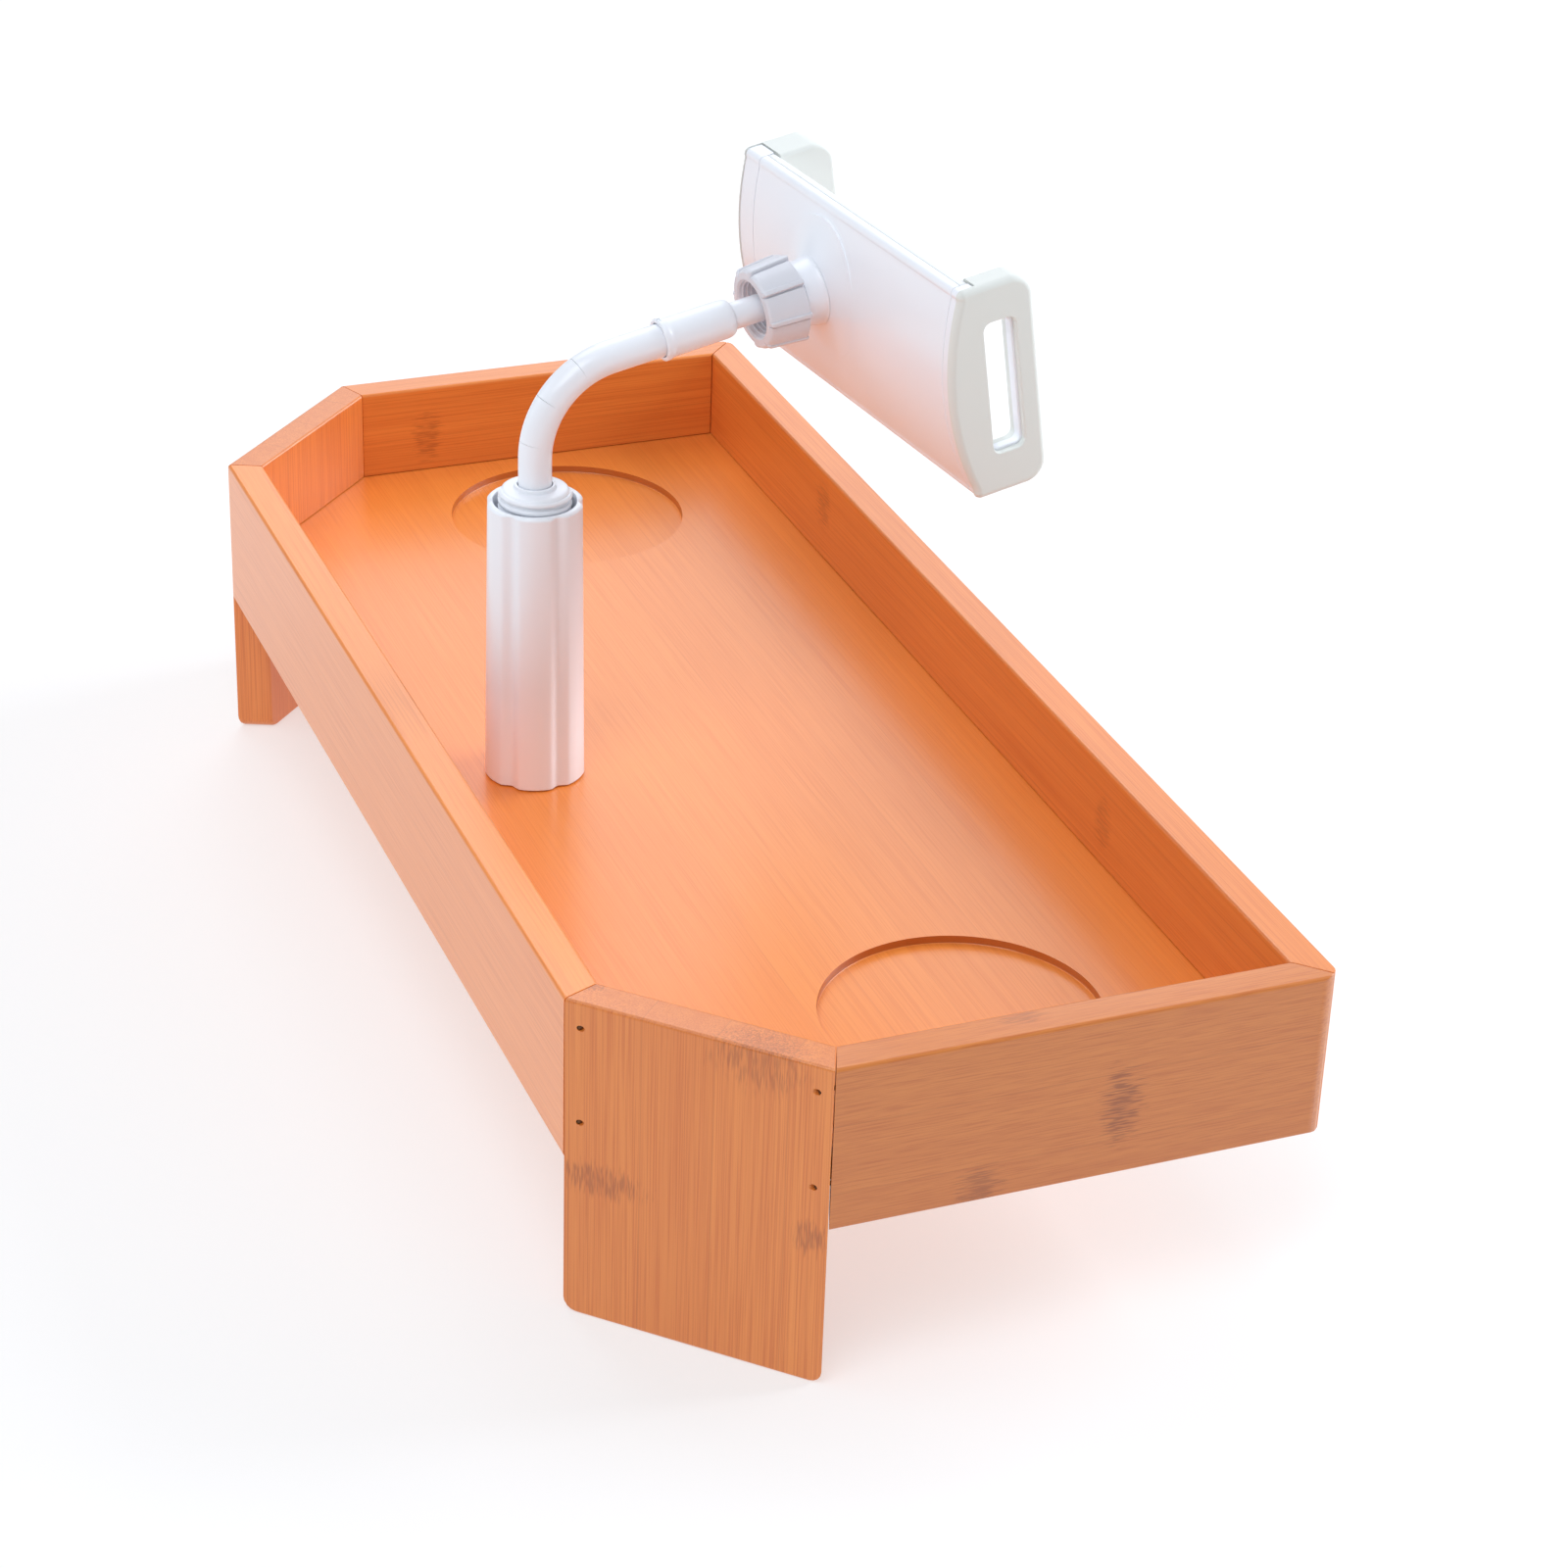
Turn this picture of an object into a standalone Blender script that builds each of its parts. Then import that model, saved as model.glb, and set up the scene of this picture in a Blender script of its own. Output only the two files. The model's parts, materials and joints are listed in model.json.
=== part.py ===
"""Bathtub tray with a gooseneck tablet holder.

A bamboo tray with two cut front corners, whose corner boards run down as legs, carries a plastic
holder: a fluted sleeve, a gooseneck, a ball joint and a spring clamp for a tablet.
Metres, +Z up, +X along the tray, +Y towards its straight back side. The origin is the middle of
the tray's outline, at the level of the feet.
"""

import math

import bmesh
import bpy
from mathutils import Matrix, Vector

# Clearance between pieces that touch or fit into each other
FIT = 0.0003

# Tray
TRAY_LENGTH = 0.521
TRAY_DEPTH = 0.225
CORNER_CUT = 0.061
WALL = 0.0123
RAIL_HEIGHT = 0.056
LEG_DROP = 0.056
INNER_DEPTH = 0.035
FLOOR_THICKNESS = 0.008
GROOVE_DEPTH = 0.005
ARRIS_RADIUS = 0.0012
BACK_CORNER_RADIUS = 0.007
FOOT_CORNER_RADIUS = 0.004
CUP_RADIUS = 0.045
CUP_DEPTH = 0.0027
CUP_SPACING = 0.384
CUP_SETBACK = 0.0197

# Finishing brads, driven from each leg board into the rail beside it
BRAD_RADIUS = 0.0007
BRAD_LENGTH = 0.017
BRAD_INSET = 0.0055
BRAD_SLANT_DEG = 40.0
BRAD_DEPTHS = (0.0090, 0.0420)
BRAD_SUNK = 0.0008

# Place of the holder on the tray's floor, set back from the tray's front edge
HOLDER_X = 0.002
HOLDER_SETBACK = 0.0555
HOLDER_YAW_DEG = 6.4

# Fluted sleeve
SLEEVE_HEIGHT = 0.101
SLEEVE_FOOT_RADIUS = 0.0173
SLEEVE_TOP_RADIUS = 0.0162
SLEEVE_BASE = 0.012
FLUTE_COUNT = 6
FLUTE_WIDTH_DEG = 27.0
FLUTE_DEPTH = 0.0015
FLUTE_TURN_DEG = -24.4
MOUTH_DEPTH = 0.008
MOUTH_PLAY = 0.0012

# Threaded collar in the sleeve's mouth
COLLAR_RADIUS = 0.0125
COLLAR_LENGTH = 0.024
COLLAR_RISE = 0.0045
THREAD_DEPTH = 0.0008
THREAD_PITCH = 0.0032
THREAD_SHAPE = ((0.3, 0.0), (0.5, 1.0), (0.8, 1.0), (1.0, 0.0))
FERRULE_RADIUS = 0.0069
FERRULE_RISE = 0.0015

# Screw, washer and insert that hold the sleeve to the floor panel
MOUNT_SCREW_RADIUS = 0.0025
MOUNT_HEAD_RADIUS = 0.0050
MOUNT_HEAD_HEIGHT = 0.0030
MOUNT_HEAD_ROUND = 0.0010
MOUNT_WASHER_RADIUS = 0.0080
MOUNT_WASHER_THICKNESS = 0.0012
INSERT_RADIUS = 0.0045
INSERT_LENGTH = 0.0090

# Gooseneck
NECK_RADIUS = 0.0056
NECK_RISE = 0.0103
NECK_BEND_RADIUS = 0.032
NECK_RUN = 0.0180
NECK_TAIL = 0.014
NECK_TONGUE = 0.010
NECK_JOINTS = 5
NECK_FIRST_JOINT = 0.009
NECK_JOINT_SPACING = 0.014
NECK_DOME_RADIUS = 0.0075
NECK_RING_SPACING = 0.003
HOLDER_TILT_DEG = 9.0

# Coupling between the gooseneck and the ball stud
COUPLING_LENGTH = 0.0263
COUPLING_RADIUS = 0.0066
COUPLING_RIM_RADIUS = 0.0073
COUPLING_RIM_LENGTH = 0.0015
COUPLING_RIM_FALL = 0.0022
COUPLING_TIP_RADIUS = 0.0054
COUPLING_TIP_LENGTH = 0.0032

# Ball joint, with distances from the ball's centre along the stud
BALL_RADIUS = 0.0075
BALL_STANDOFF = 0.0216
STUD_RADIUS = 0.0046
STUD_TONGUE = 0.012
SEAT_THICKNESS = 0.0015
SEAT_REACH_DEG = 60.0
SOCKET_RADIUS = 0.0112
SOCKET_FRONT = 0.001
RING_LENGTH = 0.0065
RING_MOUTH_RADIUS = 0.0069
RING_MOUTH_FLARE = 0.0007
SOCKET_LENGTH = 0.0097
FLANGE_RADIUS = 0.0125
FLANGE_EDGE = 0.0006
FLANGE_SETBACK = 0.0015
FLARE_LENGTH = 0.0045
PIVOT_RADIUS = 0.005
PIVOT_WASHER_RADIUS = 0.0070
PIVOT_WASHER_THICKNESS = 0.001
PIVOT_SCREW_RADIUS = 0.0015
PIVOT_HEAD_RADIUS = 0.0032
PIVOT_HEAD_HEIGHT = 0.0018
PIVOT_SCREW_DEPTH = 0.003

# Locking nut
NUT_RADIUS = 0.0156
NUT_FRONT_RADIUS = 0.0145
NUT_LENGTH = 0.0150
NUT_BACK = 0.0016
NUT_FACETS = 8
NUT_STEP = 0.0010
NUT_PANEL = ((0.0, 0.0), (0.14, 0.0), (0.19, 1.0), (0.60, 1.1), (0.97, 0.45))
NUT_CHAMFER = 0.0012
NUT_MOUTH_RADIUS = 0.0099
NUT_THROAT_RADIUS = 0.0082

# Tablet clamp
CLAMP_LENGTH = 0.143
CLAMP_HEIGHT = 0.0735
CLAMP_BULGE = 0.006
CLAMP_EDGE = 0.0015
CLAMP_FACE = 0.0080
CLAMP_CORNER_RADIUS = 0.0022
CLAMP_SKIN = 0.002
CLAMP_END_WALL = 0.003
COVER_THICKNESS = 0.0028
COVER_EDGE_RADIUS = 0.0020
PIVOT_OFFSET_X = -0.0176
PIVOT_OFFSET_Z = 0.0078
PIVOT_PAD_RISE = 0.0005
MOUND_SPREAD = 0.0115
MOUND_DEPTH = 0.0067

# Jaws and their rubber pads
JAW_PLATE = 0.0035
FIXED_JAW_PLATE = 0.0095
JAW_REACH = 0.0174
JAW_HEIGHT = 0.067
JAW_CORNER_RADIUS = 0.005
PAD_THICKNESS = 0.002
PAD_GRIP = 0.0038
PAD_RIM = 0.0025
PAD_CORNER_RADIUS = 0.0070
PAD_PROUD = 0.0008
SLOT_START = 0.0011
SLOT_WIDTH = 0.0116
SLOT_HEIGHT = 0.0463
SLOT_OFFSET = 0.0005
SLOT_RADIUS = 0.0028
SLOT_LIP = 0.0009
JAW_TRAVEL = 0.060

# Guide rods, springs and screws inside the clamp
ROD_RADIUS = 0.0013
ROD_HEAD_RADIUS = 0.0024
ROD_HEAD_LENGTH = 0.002
ROD_SPACING = 0.034
ROD_DEPTH = 0.0025
SPRING_PACKED = 0.0528
SPRING_WIRE_RADIUS = 0.0003
SPRING_TURNS = 16
BOSS_RADIUS = 0.0032
JAW_BOSS_RADIUS = 0.0021
COVER_SCREW_RADIUS = 0.0012
COVER_SCREW_HEAD_RADIUS = 0.0025
COVER_SCREW_HEAD_HEIGHT = 0.0012
COVER_SCREW_DEPTH = 0.0035
COVER_SCREW_INSET_X = 0.0195
COVER_SCREW_INSET_Z = 0.008
JAW_SCREW_RADIUS = 0.0011
JAW_SCREW_HEAD_RADIUS = 0.0022
JAW_SCREW_HEAD_HEIGHT = 0.0013
JAW_SCREW_DEPTH = 0.007
JAW_SCREW_SPACING = 0.024

# Fineness of round shapes, and the angle from which an edge is shaded sharp
CUP_STEPS = 48
ROUND_STEPS = 32
BALL_STEPS = 24
TUBE_STEPS = 20
SMALL_STEPS = 12
FOOT_STEPS = 4
SPRING_STEPS_PER_TURN = 8
SPRING_SIDES = 4
SHARP_DEG = 32.0

# Places that follow from the sizes above
TRAY_TOP = LEG_DROP + RAIL_HEIGHT
FLOOR_TOP = TRAY_TOP - INNER_DEPTH
FLOOR_BOTTOM = FLOOR_TOP - FLOOR_THICKNESS
HOLDER_Y = HOLDER_SETBACK - TRAY_DEPTH / 2.0
NECK_LEAN = math.radians(90.0 - HOLDER_TILT_DEG)
NECK_START = SLEEVE_HEIGHT + COLLAR_RISE
NECK_ARC = NECK_LEAN * NECK_BEND_RADIUS
NECK_END = NECK_RISE + NECK_ARC + NECK_RUN
BALL_AT = NECK_END + COUPLING_LENGTH + BALL_STANDOFF
POCKET_RADIUS = BALL_RADIUS + SEAT_THICKNESS + 2.0 * FIT
SOCKET_BACK = SOCKET_FRONT + FIT + SOCKET_LENGTH
FLANGE_BACK = SOCKET_BACK - FLANGE_SETBACK
CLAMP_BACK = CLAMP_BULGE - CLAMP_EDGE
CLAMP_AT = SOCKET_BACK + FIT + PIVOT_PAD_RISE + CLAMP_BACK
PIVOT_FACE = SOCKET_BACK + FIT + 2.0 * PIVOT_PAD_RISE + CLAMP_SKIN
HALF_CLAMP = CLAMP_LENGTH / 2.0
PLATE_INNER = HALF_CLAMP - PAD_THICKNESS - FIT - JAW_PLATE
FIXED_PLATE_OUTER = PLATE_INNER + FIXED_JAW_PLATE
SHELL_END = PLATE_INNER - FIT
CAVITY_END = SHELL_END - CLAMP_END_WALL
PAD_INNER = PLATE_INNER - FIT - PAD_GRIP
COVER_BACK = CLAMP_FACE - COVER_THICKNESS
SHELL_FRONT = COVER_BACK - FIT
SPRING_FREE_END = CAVITY_END - SPRING_PACKED - JAW_TRAVEL


# Finishes, as a linear colour, a roughness and a metallic value
BAMBOO = ((0.76, 0.29, 0.10), 0.42, 0.0)
BAMBOO_LEG = ((0.73, 0.26, 0.10), 0.42, 0.0)
BAMBOO_FLOOR = ((0.88, 0.34, 0.12), 0.38, 0.0)
WHITE_PLASTIC = ((0.86, 0.85, 0.89), 0.35, 0.0)
GREY_PLASTIC = ((0.78, 0.77, 0.81), 0.40, 0.0)
COVER_GREY = ((0.74, 0.75, 0.71), 0.50, 0.0)
PALE_RUBBER = ((0.76, 0.78, 0.72), 0.70, 0.0)
STEEL = ((0.55, 0.55, 0.54), 0.35, 1.0)
BRASS = ((0.78, 0.57, 0.25), 0.30, 1.0)


def material(name, finish):
    """A sub-part's own material."""
    colour, roughness, metallic = finish
    made = bpy.data.materials.new(name)
    made.use_nodes = True
    shader = made.node_tree.nodes["Principled BSDF"]
    shader.inputs["Base Color"].default_value = (*colour, 1.0)
    shader.inputs["Roughness"].default_value = roughness
    shader.inputs["Metallic"].default_value = metallic
    return made


# Outlines

def arc(centre, radius, start_deg, end_deg, steps):
    """Points on an arc, both ends included."""
    points = []
    for i in range(steps + 1):
        angle = math.radians(start_deg + (end_deg - start_deg) * i / steps)
        points.append((centre[0] + radius * math.cos(angle), centre[1] + radius * math.sin(angle)))
    return points


def turn_at(corners, index):
    """How far the outline turns at a corner, in radians, and the directions before and after it."""
    before = (corners[index] - corners[index - 1]).normalized()
    after = (corners[(index + 1) % len(corners)] - corners[index]).normalized()
    turn = math.atan2(before.x * after.y - before.y * after.x, before.dot(after))
    return turn, before, after


def drawn_in(corners, inset):
    """A counter-clockwise outline with every side moved inwards."""
    moved = []
    for index, corner in enumerate(corners):
        turn, _, after = turn_at(corners, index)
        inward = Vector((-after.y, after.x))
        moved.append(corner + after * inset * math.tan(turn / 2.0) + inward * inset)
    return moved


def rounded(corners, radii, steps=4):
    """A counter-clockwise outline with the given radius at each corner."""
    points = []
    for index, corner in enumerate(corners):
        turn, before, after = turn_at(corners, index)
        radius = radii[index]
        if radius <= 0.0:
            points.append(corner)
            continue
        reach = radius * math.tan(abs(turn) / 2.0)
        side = math.copysign(1.0, turn)
        start = corner - before * reach
        centre = start + Vector((-before.y, before.x)) * radius * side
        for step in range(steps + 1):
            angle = turn * step / steps
            spoke = start - centre
            points.append(centre + Matrix.Rotation(angle, 2) @ spoke)
    return points


def box_outline(low_x, low_y, high_x, high_y, radius=0.0, steps=4):
    """A rectangle, with round corners if a radius is given."""
    corners = [Vector(c) for c in ((low_x, low_y), (high_x, low_y), (high_x, high_y), (low_x, high_y))]
    return rounded(corners, [radius] * 4, steps)


# Solids

def loft(rings):
    """A closed solid through rings of points. A ring of one point closes an end as a fan."""
    bm = bmesh.new()
    made = [[bm.verts.new(point) for point in ring] for ring in rings]
    for lower, upper in zip(made, made[1:]):
        count = max(len(lower), len(upper))
        for i in range(count):
            j = (i + 1) % count
            corners = [lower[i % len(lower)], lower[j % len(lower)]]
            corners += [upper[j % len(upper)], upper[i % len(upper)]]
            bm.faces.new(list(dict.fromkeys(corners)))
    for end in (made[0], made[-1]):
        if len(end) > 2:
            bm.faces.new(end)
    bmesh.ops.recalc_face_normals(bm, faces=bm.faces)
    return bm


def turned(profile, steps=ROUND_STEPS):
    """A solid of revolution about Z. The profile is a closed loop of (radius, height)."""
    bm = bmesh.new()
    columns = []
    for i in range(steps):
        angle = 2.0 * math.pi * i / steps
        columns.append([(r * math.cos(angle), r * math.sin(angle), z) for r, z in profile])
    rings = []
    for index, (radius, height) in enumerate(profile):
        if radius < 1e-9:
            rings.append([bm.verts.new((0.0, 0.0, height))])
        else:
            rings.append([bm.verts.new(column[index]) for column in columns])
    for index, lower in enumerate(rings):
        upper = rings[(index + 1) % len(rings)]
        if len(lower) == 1 and len(upper) == 1:
            continue
        for i in range(steps):
            j = (i + 1) % steps
            corners = [lower[i % len(lower)], lower[j % len(lower)]]
            corners += [upper[j % len(upper)], upper[i % len(upper)]]
            bm.faces.new(list(dict.fromkeys(corners)))
    bmesh.ops.recalc_face_normals(bm, faces=bm.faces)
    return bm


def disc(radius, low, high, steps=ROUND_STEPS):
    """A plain cylinder about Z."""
    return turned([(0.0, low), (radius, low), (radius, high), (0.0, high)], steps)


def prism(outline, low, high):
    """An outline in X and Y, raised from one height to another."""
    return loft([[(p[0], p[1], height) for p in outline] for height in (low, high)])


def along_x(outline, low, high):
    """An outline in Y and Z, drawn along X."""
    return loft([[(x, p[0], p[1]) for p in outline] for x in (low, high)])


def along_y(outline, low, high):
    """An outline in X and Z, drawn along Y."""
    return loft([[(p[0], y, p[1]) for p in outline] for y in (low, high)])


def rod_along_x(radius, low, high, y, z, steps=SMALL_STEPS):
    """A cylinder along X."""
    return along_x(arc((y, z), radius, 0.0, 360.0, steps)[:-1], low, high)


def rod_along_y(radius, low, high, x, z, steps=SMALL_STEPS):
    """A cylinder along Y."""
    return along_y(arc((x, z), radius, 0.0, 360.0, steps)[:-1], low, high)


def piece(name, bm, finish):
    """A named object from a finished shape."""
    mesh = bpy.data.meshes.new(name)
    bm.to_mesh(mesh)
    bm.free()
    mesh.materials.append(material(name, finish))
    made = bpy.data.objects.new(name, mesh)
    bpy.context.scene.collection.objects.link(made)
    return made


def combine(target, bm, operation):
    """Cuts a shape from a piece, or joins it on, and drops the tool."""
    mesh = bpy.data.meshes.new("tool")
    bm.to_mesh(mesh)
    bm.free()
    tool = bpy.data.objects.new("tool", mesh)
    bpy.context.scene.collection.objects.link(tool)
    modifier = target.modifiers.new(operation.lower(), "BOOLEAN")
    modifier.operation = operation
    modifier.solver = "EXACT"
    modifier.object = tool
    bpy.context.view_layer.update()
    result = bpy.data.meshes.new_from_object(target.evaluated_get(bpy.context.evaluated_depsgraph_get()))
    target.modifiers.clear()
    old = target.data
    target.data = result
    result.name = target.name
    bpy.data.meshes.remove(old)
    bpy.data.objects.remove(tool)
    bpy.data.meshes.remove(mesh)
    return target


def cut(target, bm):
    """Cuts a shape from a piece."""
    return combine(target, bm, "DIFFERENCE")


def join(target, bm):
    """Joins a shape onto a piece."""
    return combine(target, bm, "UNION")


def settle(made, home=None):
    """Shades a piece and hangs it on the frame that it moves with."""
    made.data.shade_smooth()
    made.data.set_sharp_from_angle(angle=math.radians(SHARP_DEG))
    if home is not None:
        made.parent = home
    return made


# Frames that the moving pieces hang on

PLACES = {}


def home(name, place, parent=None):
    """An empty on a joint's axis. Its place is given in the row's own frame."""
    made = bpy.data.objects.new(name, None)
    made.empty_display_size = 0.01
    bpy.context.scene.collection.objects.link(made)
    made.parent = parent
    made.matrix_basis = PLACES[parent.name].inverted() @ place if parent else place
    PLACES[name] = place
    return made


def neck_point(distance):
    """(forward, up, lean) of the gooseneck's centre line, its length measured from the collar's top."""
    if distance <= NECK_RISE:
        return 0.0, NECK_START + distance, 0.0
    if distance <= NECK_RISE + NECK_ARC:
        lean = (distance - NECK_RISE) / NECK_BEND_RADIUS
    else:
        lean = NECK_LEAN
    beyond = max(0.0, distance - NECK_RISE - NECK_ARC)
    forward = NECK_BEND_RADIUS * (1.0 - math.cos(lean)) + beyond * math.sin(lean)
    up = NECK_START + NECK_RISE + NECK_BEND_RADIUS * math.sin(lean) + beyond * math.cos(lean)
    return forward, up, lean


def neck_place(distance):
    """A frame on the gooseneck's centre line, its Z along the line and its X level."""
    forward, up, lean = neck_point(distance)
    return Matrix.Translation((0.0, forward, up)) @ Matrix.Rotation(-lean, 4, "X")


def neck_joint_at(index):
    """Length along the gooseneck of a bending joint, counted from 1."""
    return NECK_FIRST_JOINT + (index - 1) * NECK_JOINT_SPACING


# Tray

def tray_corners():
    """The tray's outline, counter-clockwise from the front rail's left end."""
    x, y = TRAY_LENGTH / 2.0, TRAY_DEPTH / 2.0
    return [Vector(c) for c in ((CORNER_CUT - x, -y), (x - CORNER_CUT, -y), (x, CORNER_CUT - y),
                                (x, y), (-x, y), (-x, CORNER_CUT - y))]


def board_profile(low):
    """Section of a wall board as (depth from its outer face, height), with the groove for the floor."""
    radius = ARRIS_RADIUS
    groove = WALL - GROOVE_DEPTH - FIT
    points = []
    points += arc((radius, low + radius), radius, 270.0, 180.0, 2)
    points += arc((radius, TRAY_TOP - radius), radius, 180.0, 90.0, 3)
    points += arc((WALL - radius, TRAY_TOP - radius), radius, 90.0, 0.0, 3)
    points += [(WALL, FLOOR_TOP + FIT), (groove, FLOOR_TOP + FIT),
               (groove, FLOOR_BOTTOM - FIT), (WALL, FLOOR_BOTTOM - FIT)]
    points += arc((WALL - radius, low + radius), radius, 0.0, -90.0, 2)
    return points


def wall_board(name, side, low, finish=BAMBOO, foot=0.0):
    """One mitred board of the tray's wall, with its two lower corners rounded to a foot radius."""
    corners = tray_corners()
    start, end = corners[side], corners[(side + 1) % len(corners)]
    turn_start, _, along = turn_at(corners, side)
    turn_end = turn_at(corners, (side + 1) % len(corners))[0]
    inward = Vector((-along.y, along.x))
    angles = [math.radians(90.0 * i / FOOT_STEPS) for i in range(FOOT_STEPS + 1)] if foot else [0.0]
    rings = []
    for corner, turn, sign in ((start, turn_start, 1.0), (end, turn_end, -1.0)):
        stations = []
        for angle in angles:
            shift, lift = foot * (1.0 - math.cos(angle)), foot * (1.0 - math.sin(angle))
            ring = []
            for depth, height in board_profile(low):
                back = shift + depth * math.tan(turn / 2.0) + FIT / 2.0 / math.cos(turn / 2.0)
                place = corner + along * back * sign + inward * depth
                ring.append((place.x, place.y, height + lift if height < low + WALL else height))
            stations.append(ring)
        rings += stations if sign > 0.0 else list(reversed(stations))
    return piece(name, loft(rings), finish)


def brad_frames(side):
    """Frames of one leg board's brads: Z points out of the wood along the brad."""
    corners = tray_corners()
    start, end = corners[side], corners[(side + 1) % len(corners)]
    along = (end - start).normalized()
    inward = Vector((-along.y, along.x))
    slant = math.radians(BRAD_SLANT_DEG)
    frames = []
    for corner, sign in ((start, 1.0), (end, -1.0)):
        head = corner + along * BRAD_INSET * sign
        outward = -(inward * math.cos(slant) - along * math.sin(slant) * sign)
        direction = Vector((outward.x, outward.y, 0.0))
        for depth in BRAD_DEPTHS:
            turn = direction.to_track_quat("Z", "Y").to_matrix().to_4x4()
            frames.append(Matrix.Translation((head.x, head.y, TRAY_TOP - depth)) @ turn)
    return frames


def moved(bm, place):
    """A shape moved to a frame."""
    bm.transform(place)
    return bm


def back_corner_cutter():
    """The tray's outline with its two back corners rounded, as a block that the boards are trimmed to."""
    corners = tray_corners()
    wide = drawn_in(corners, -FIT)
    wide[3], wide[4] = corners[3], corners[4]
    radii = [0.0, 0.0, 0.0, BACK_CORNER_RADIUS, BACK_CORNER_RADIUS, 0.0]
    return prism(rounded(wide, radii, 6), LEG_DROP - FIT, TRAY_TOP + FIT)


def floor_panel():
    """The floor, held in the boards' grooves, with its two cup recesses and the screw's hole."""
    outline = drawn_in(tray_corners(), WALL - GROOVE_DEPTH)
    made = piece("floor_panel", prism(outline, FLOOR_BOTTOM, FLOOR_TOP), BAMBOO_FLOOR)
    for side in (-1.0, 1.0):
        recess = disc(CUP_RADIUS, FLOOR_TOP - CUP_DEPTH, FLOOR_TOP + CUP_DEPTH, CUP_STEPS)
        cut(made, moved(recess, Matrix.Translation((side * CUP_SPACING / 2.0, CUP_SETBACK, 0.0))))
    hole = disc(MOUNT_SCREW_RADIUS + FIT, FLOOR_BOTTOM - FIT, FLOOR_TOP + FIT, SMALL_STEPS)
    return settle(cut(made, moved(hole, Matrix.Translation((HOLDER_X, HOLDER_Y, 0.0)))))


def tray():
    """Boards, floor and brads."""
    front = wall_board("front_rail", 0, LEG_DROP)
    right_leg = wall_board("right_leg", 1, 0.0, BAMBOO_LEG, FOOT_CORNER_RADIUS)
    right_end = wall_board("right_end_rail", 2, LEG_DROP)
    back = wall_board("back_rail", 3, LEG_DROP)
    left_end = wall_board("left_end_rail", 4, LEG_DROP)
    left_leg = wall_board("left_leg", 5, 0.0, BAMBOO_LEG, FOOT_CORNER_RADIUS)
    for board in (right_end, back, left_end):
        combine(board, back_corner_cutter(), "INTERSECT")
    for side, leg, before, after in ((1, right_leg, front, right_end), (5, left_leg, left_end, front)):
        for index, place in enumerate(brad_frames(side)):
            neighbour = before if index < len(BRAD_DEPTHS) else after
            for board in (leg, neighbour):
                hole = disc(BRAD_RADIUS + FIT, -BRAD_LENGTH - FIT, BRAD_INSET, SMALL_STEPS)
                cut(board, moved(hole, place))
            brad = moved(disc(BRAD_RADIUS, -BRAD_LENGTH, -BRAD_SUNK, SMALL_STEPS), place)
            settle(piece(f"{leg.name}_brad_{index + 1}", brad, STEEL))
    for board in (front, right_leg, right_end, back, left_end, left_leg):
        settle(board)
    floor_panel()


# Holder's foot

def sleeve_outline(radius, depth):
    """The sleeve's section: round lobes with a shallow hollow between each two."""
    half = math.radians(FLUTE_WIDTH_DEG / 2.0)
    pitch = 2.0 * math.pi / FLUTE_COUNT
    points = []
    for flute in range(FLUTE_COUNT):
        centre = math.radians(FLUTE_TURN_DEG) + pitch * (flute + 0.5)
        for step in range(-3, 4):
            share = step / 3.0
            hollow = depth * 0.5 * (1.0 + math.cos(math.pi * share))
            angle = centre + half * share
            points.append(((radius - hollow) * math.cos(angle), (radius - hollow) * math.sin(angle)))
        gap = pitch - 2.0 * half
        for step in (1, 2, 3):
            angle = centre + half + gap * step / 4.0
            points.append((radius * math.cos(angle), radius * math.sin(angle)))
    return points


def grip_sleeve(stand):
    """The fluted sleeve, bored for the collar from above and for the insert from below."""
    edge = ARRIS_RADIUS / 2.0
    rings = []
    for height, inset in ((FIT, edge), (FIT + edge, 0.0), (SLEEVE_HEIGHT - edge, 0.0), (SLEEVE_HEIGHT, edge)):
        share = height / SLEEVE_HEIGHT
        radius = SLEEVE_FOOT_RADIUS + (SLEEVE_TOP_RADIUS - SLEEVE_FOOT_RADIUS) * share - inset
        rings.append([(p[0], p[1], height) for p in sleeve_outline(radius, FLUTE_DEPTH)])
    made = piece("grip_sleeve", loft(rings), WHITE_PLASTIC)
    mouth = COLLAR_RADIUS + MOUTH_PLAY
    bore = COLLAR_RADIUS + FIT
    above = SLEEVE_HEIGHT + MOUTH_DEPTH
    shoulder = SLEEVE_HEIGHT - MOUTH_DEPTH
    cut(made, turned([(0.0, SLEEVE_BASE), (bore, SLEEVE_BASE), (bore, shoulder), (mouth, shoulder),
                      (mouth, above), (0.0, above)]))
    cut(made, disc(INSERT_RADIUS + FIT, -FIT, FIT + INSERT_LENGTH + 2.0 * FIT, SMALL_STEPS * 2))
    return settle(made, stand)


def threaded_collar(stand):
    """The collar in the sleeve's mouth. Its ridges stand for the thread's turns."""
    top = NECK_START
    low = top - COLLAR_LENGTH
    core = COLLAR_RADIUS - THREAD_DEPTH
    bore = NECK_RADIUS + FIT
    floor = top - NECK_TAIL - 2.0 * FIT
    profile = [(0.0, low), (core, low)]
    for index in range(int(COLLAR_LENGTH / THREAD_PITCH)):
        for along, rise in THREAD_SHAPE:
            profile.append((core + THREAD_DEPTH * rise, low + THREAD_PITCH * (index + along)))
    profile += [(core, top), (FERRULE_RADIUS, top), (FERRULE_RADIUS, top + FERRULE_RISE),
                (bore, top + FERRULE_RISE), (bore, floor), (0.0, floor)]
    return settle(piece("threaded_collar", turned(profile), WHITE_PLASTIC), stand)


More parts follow.
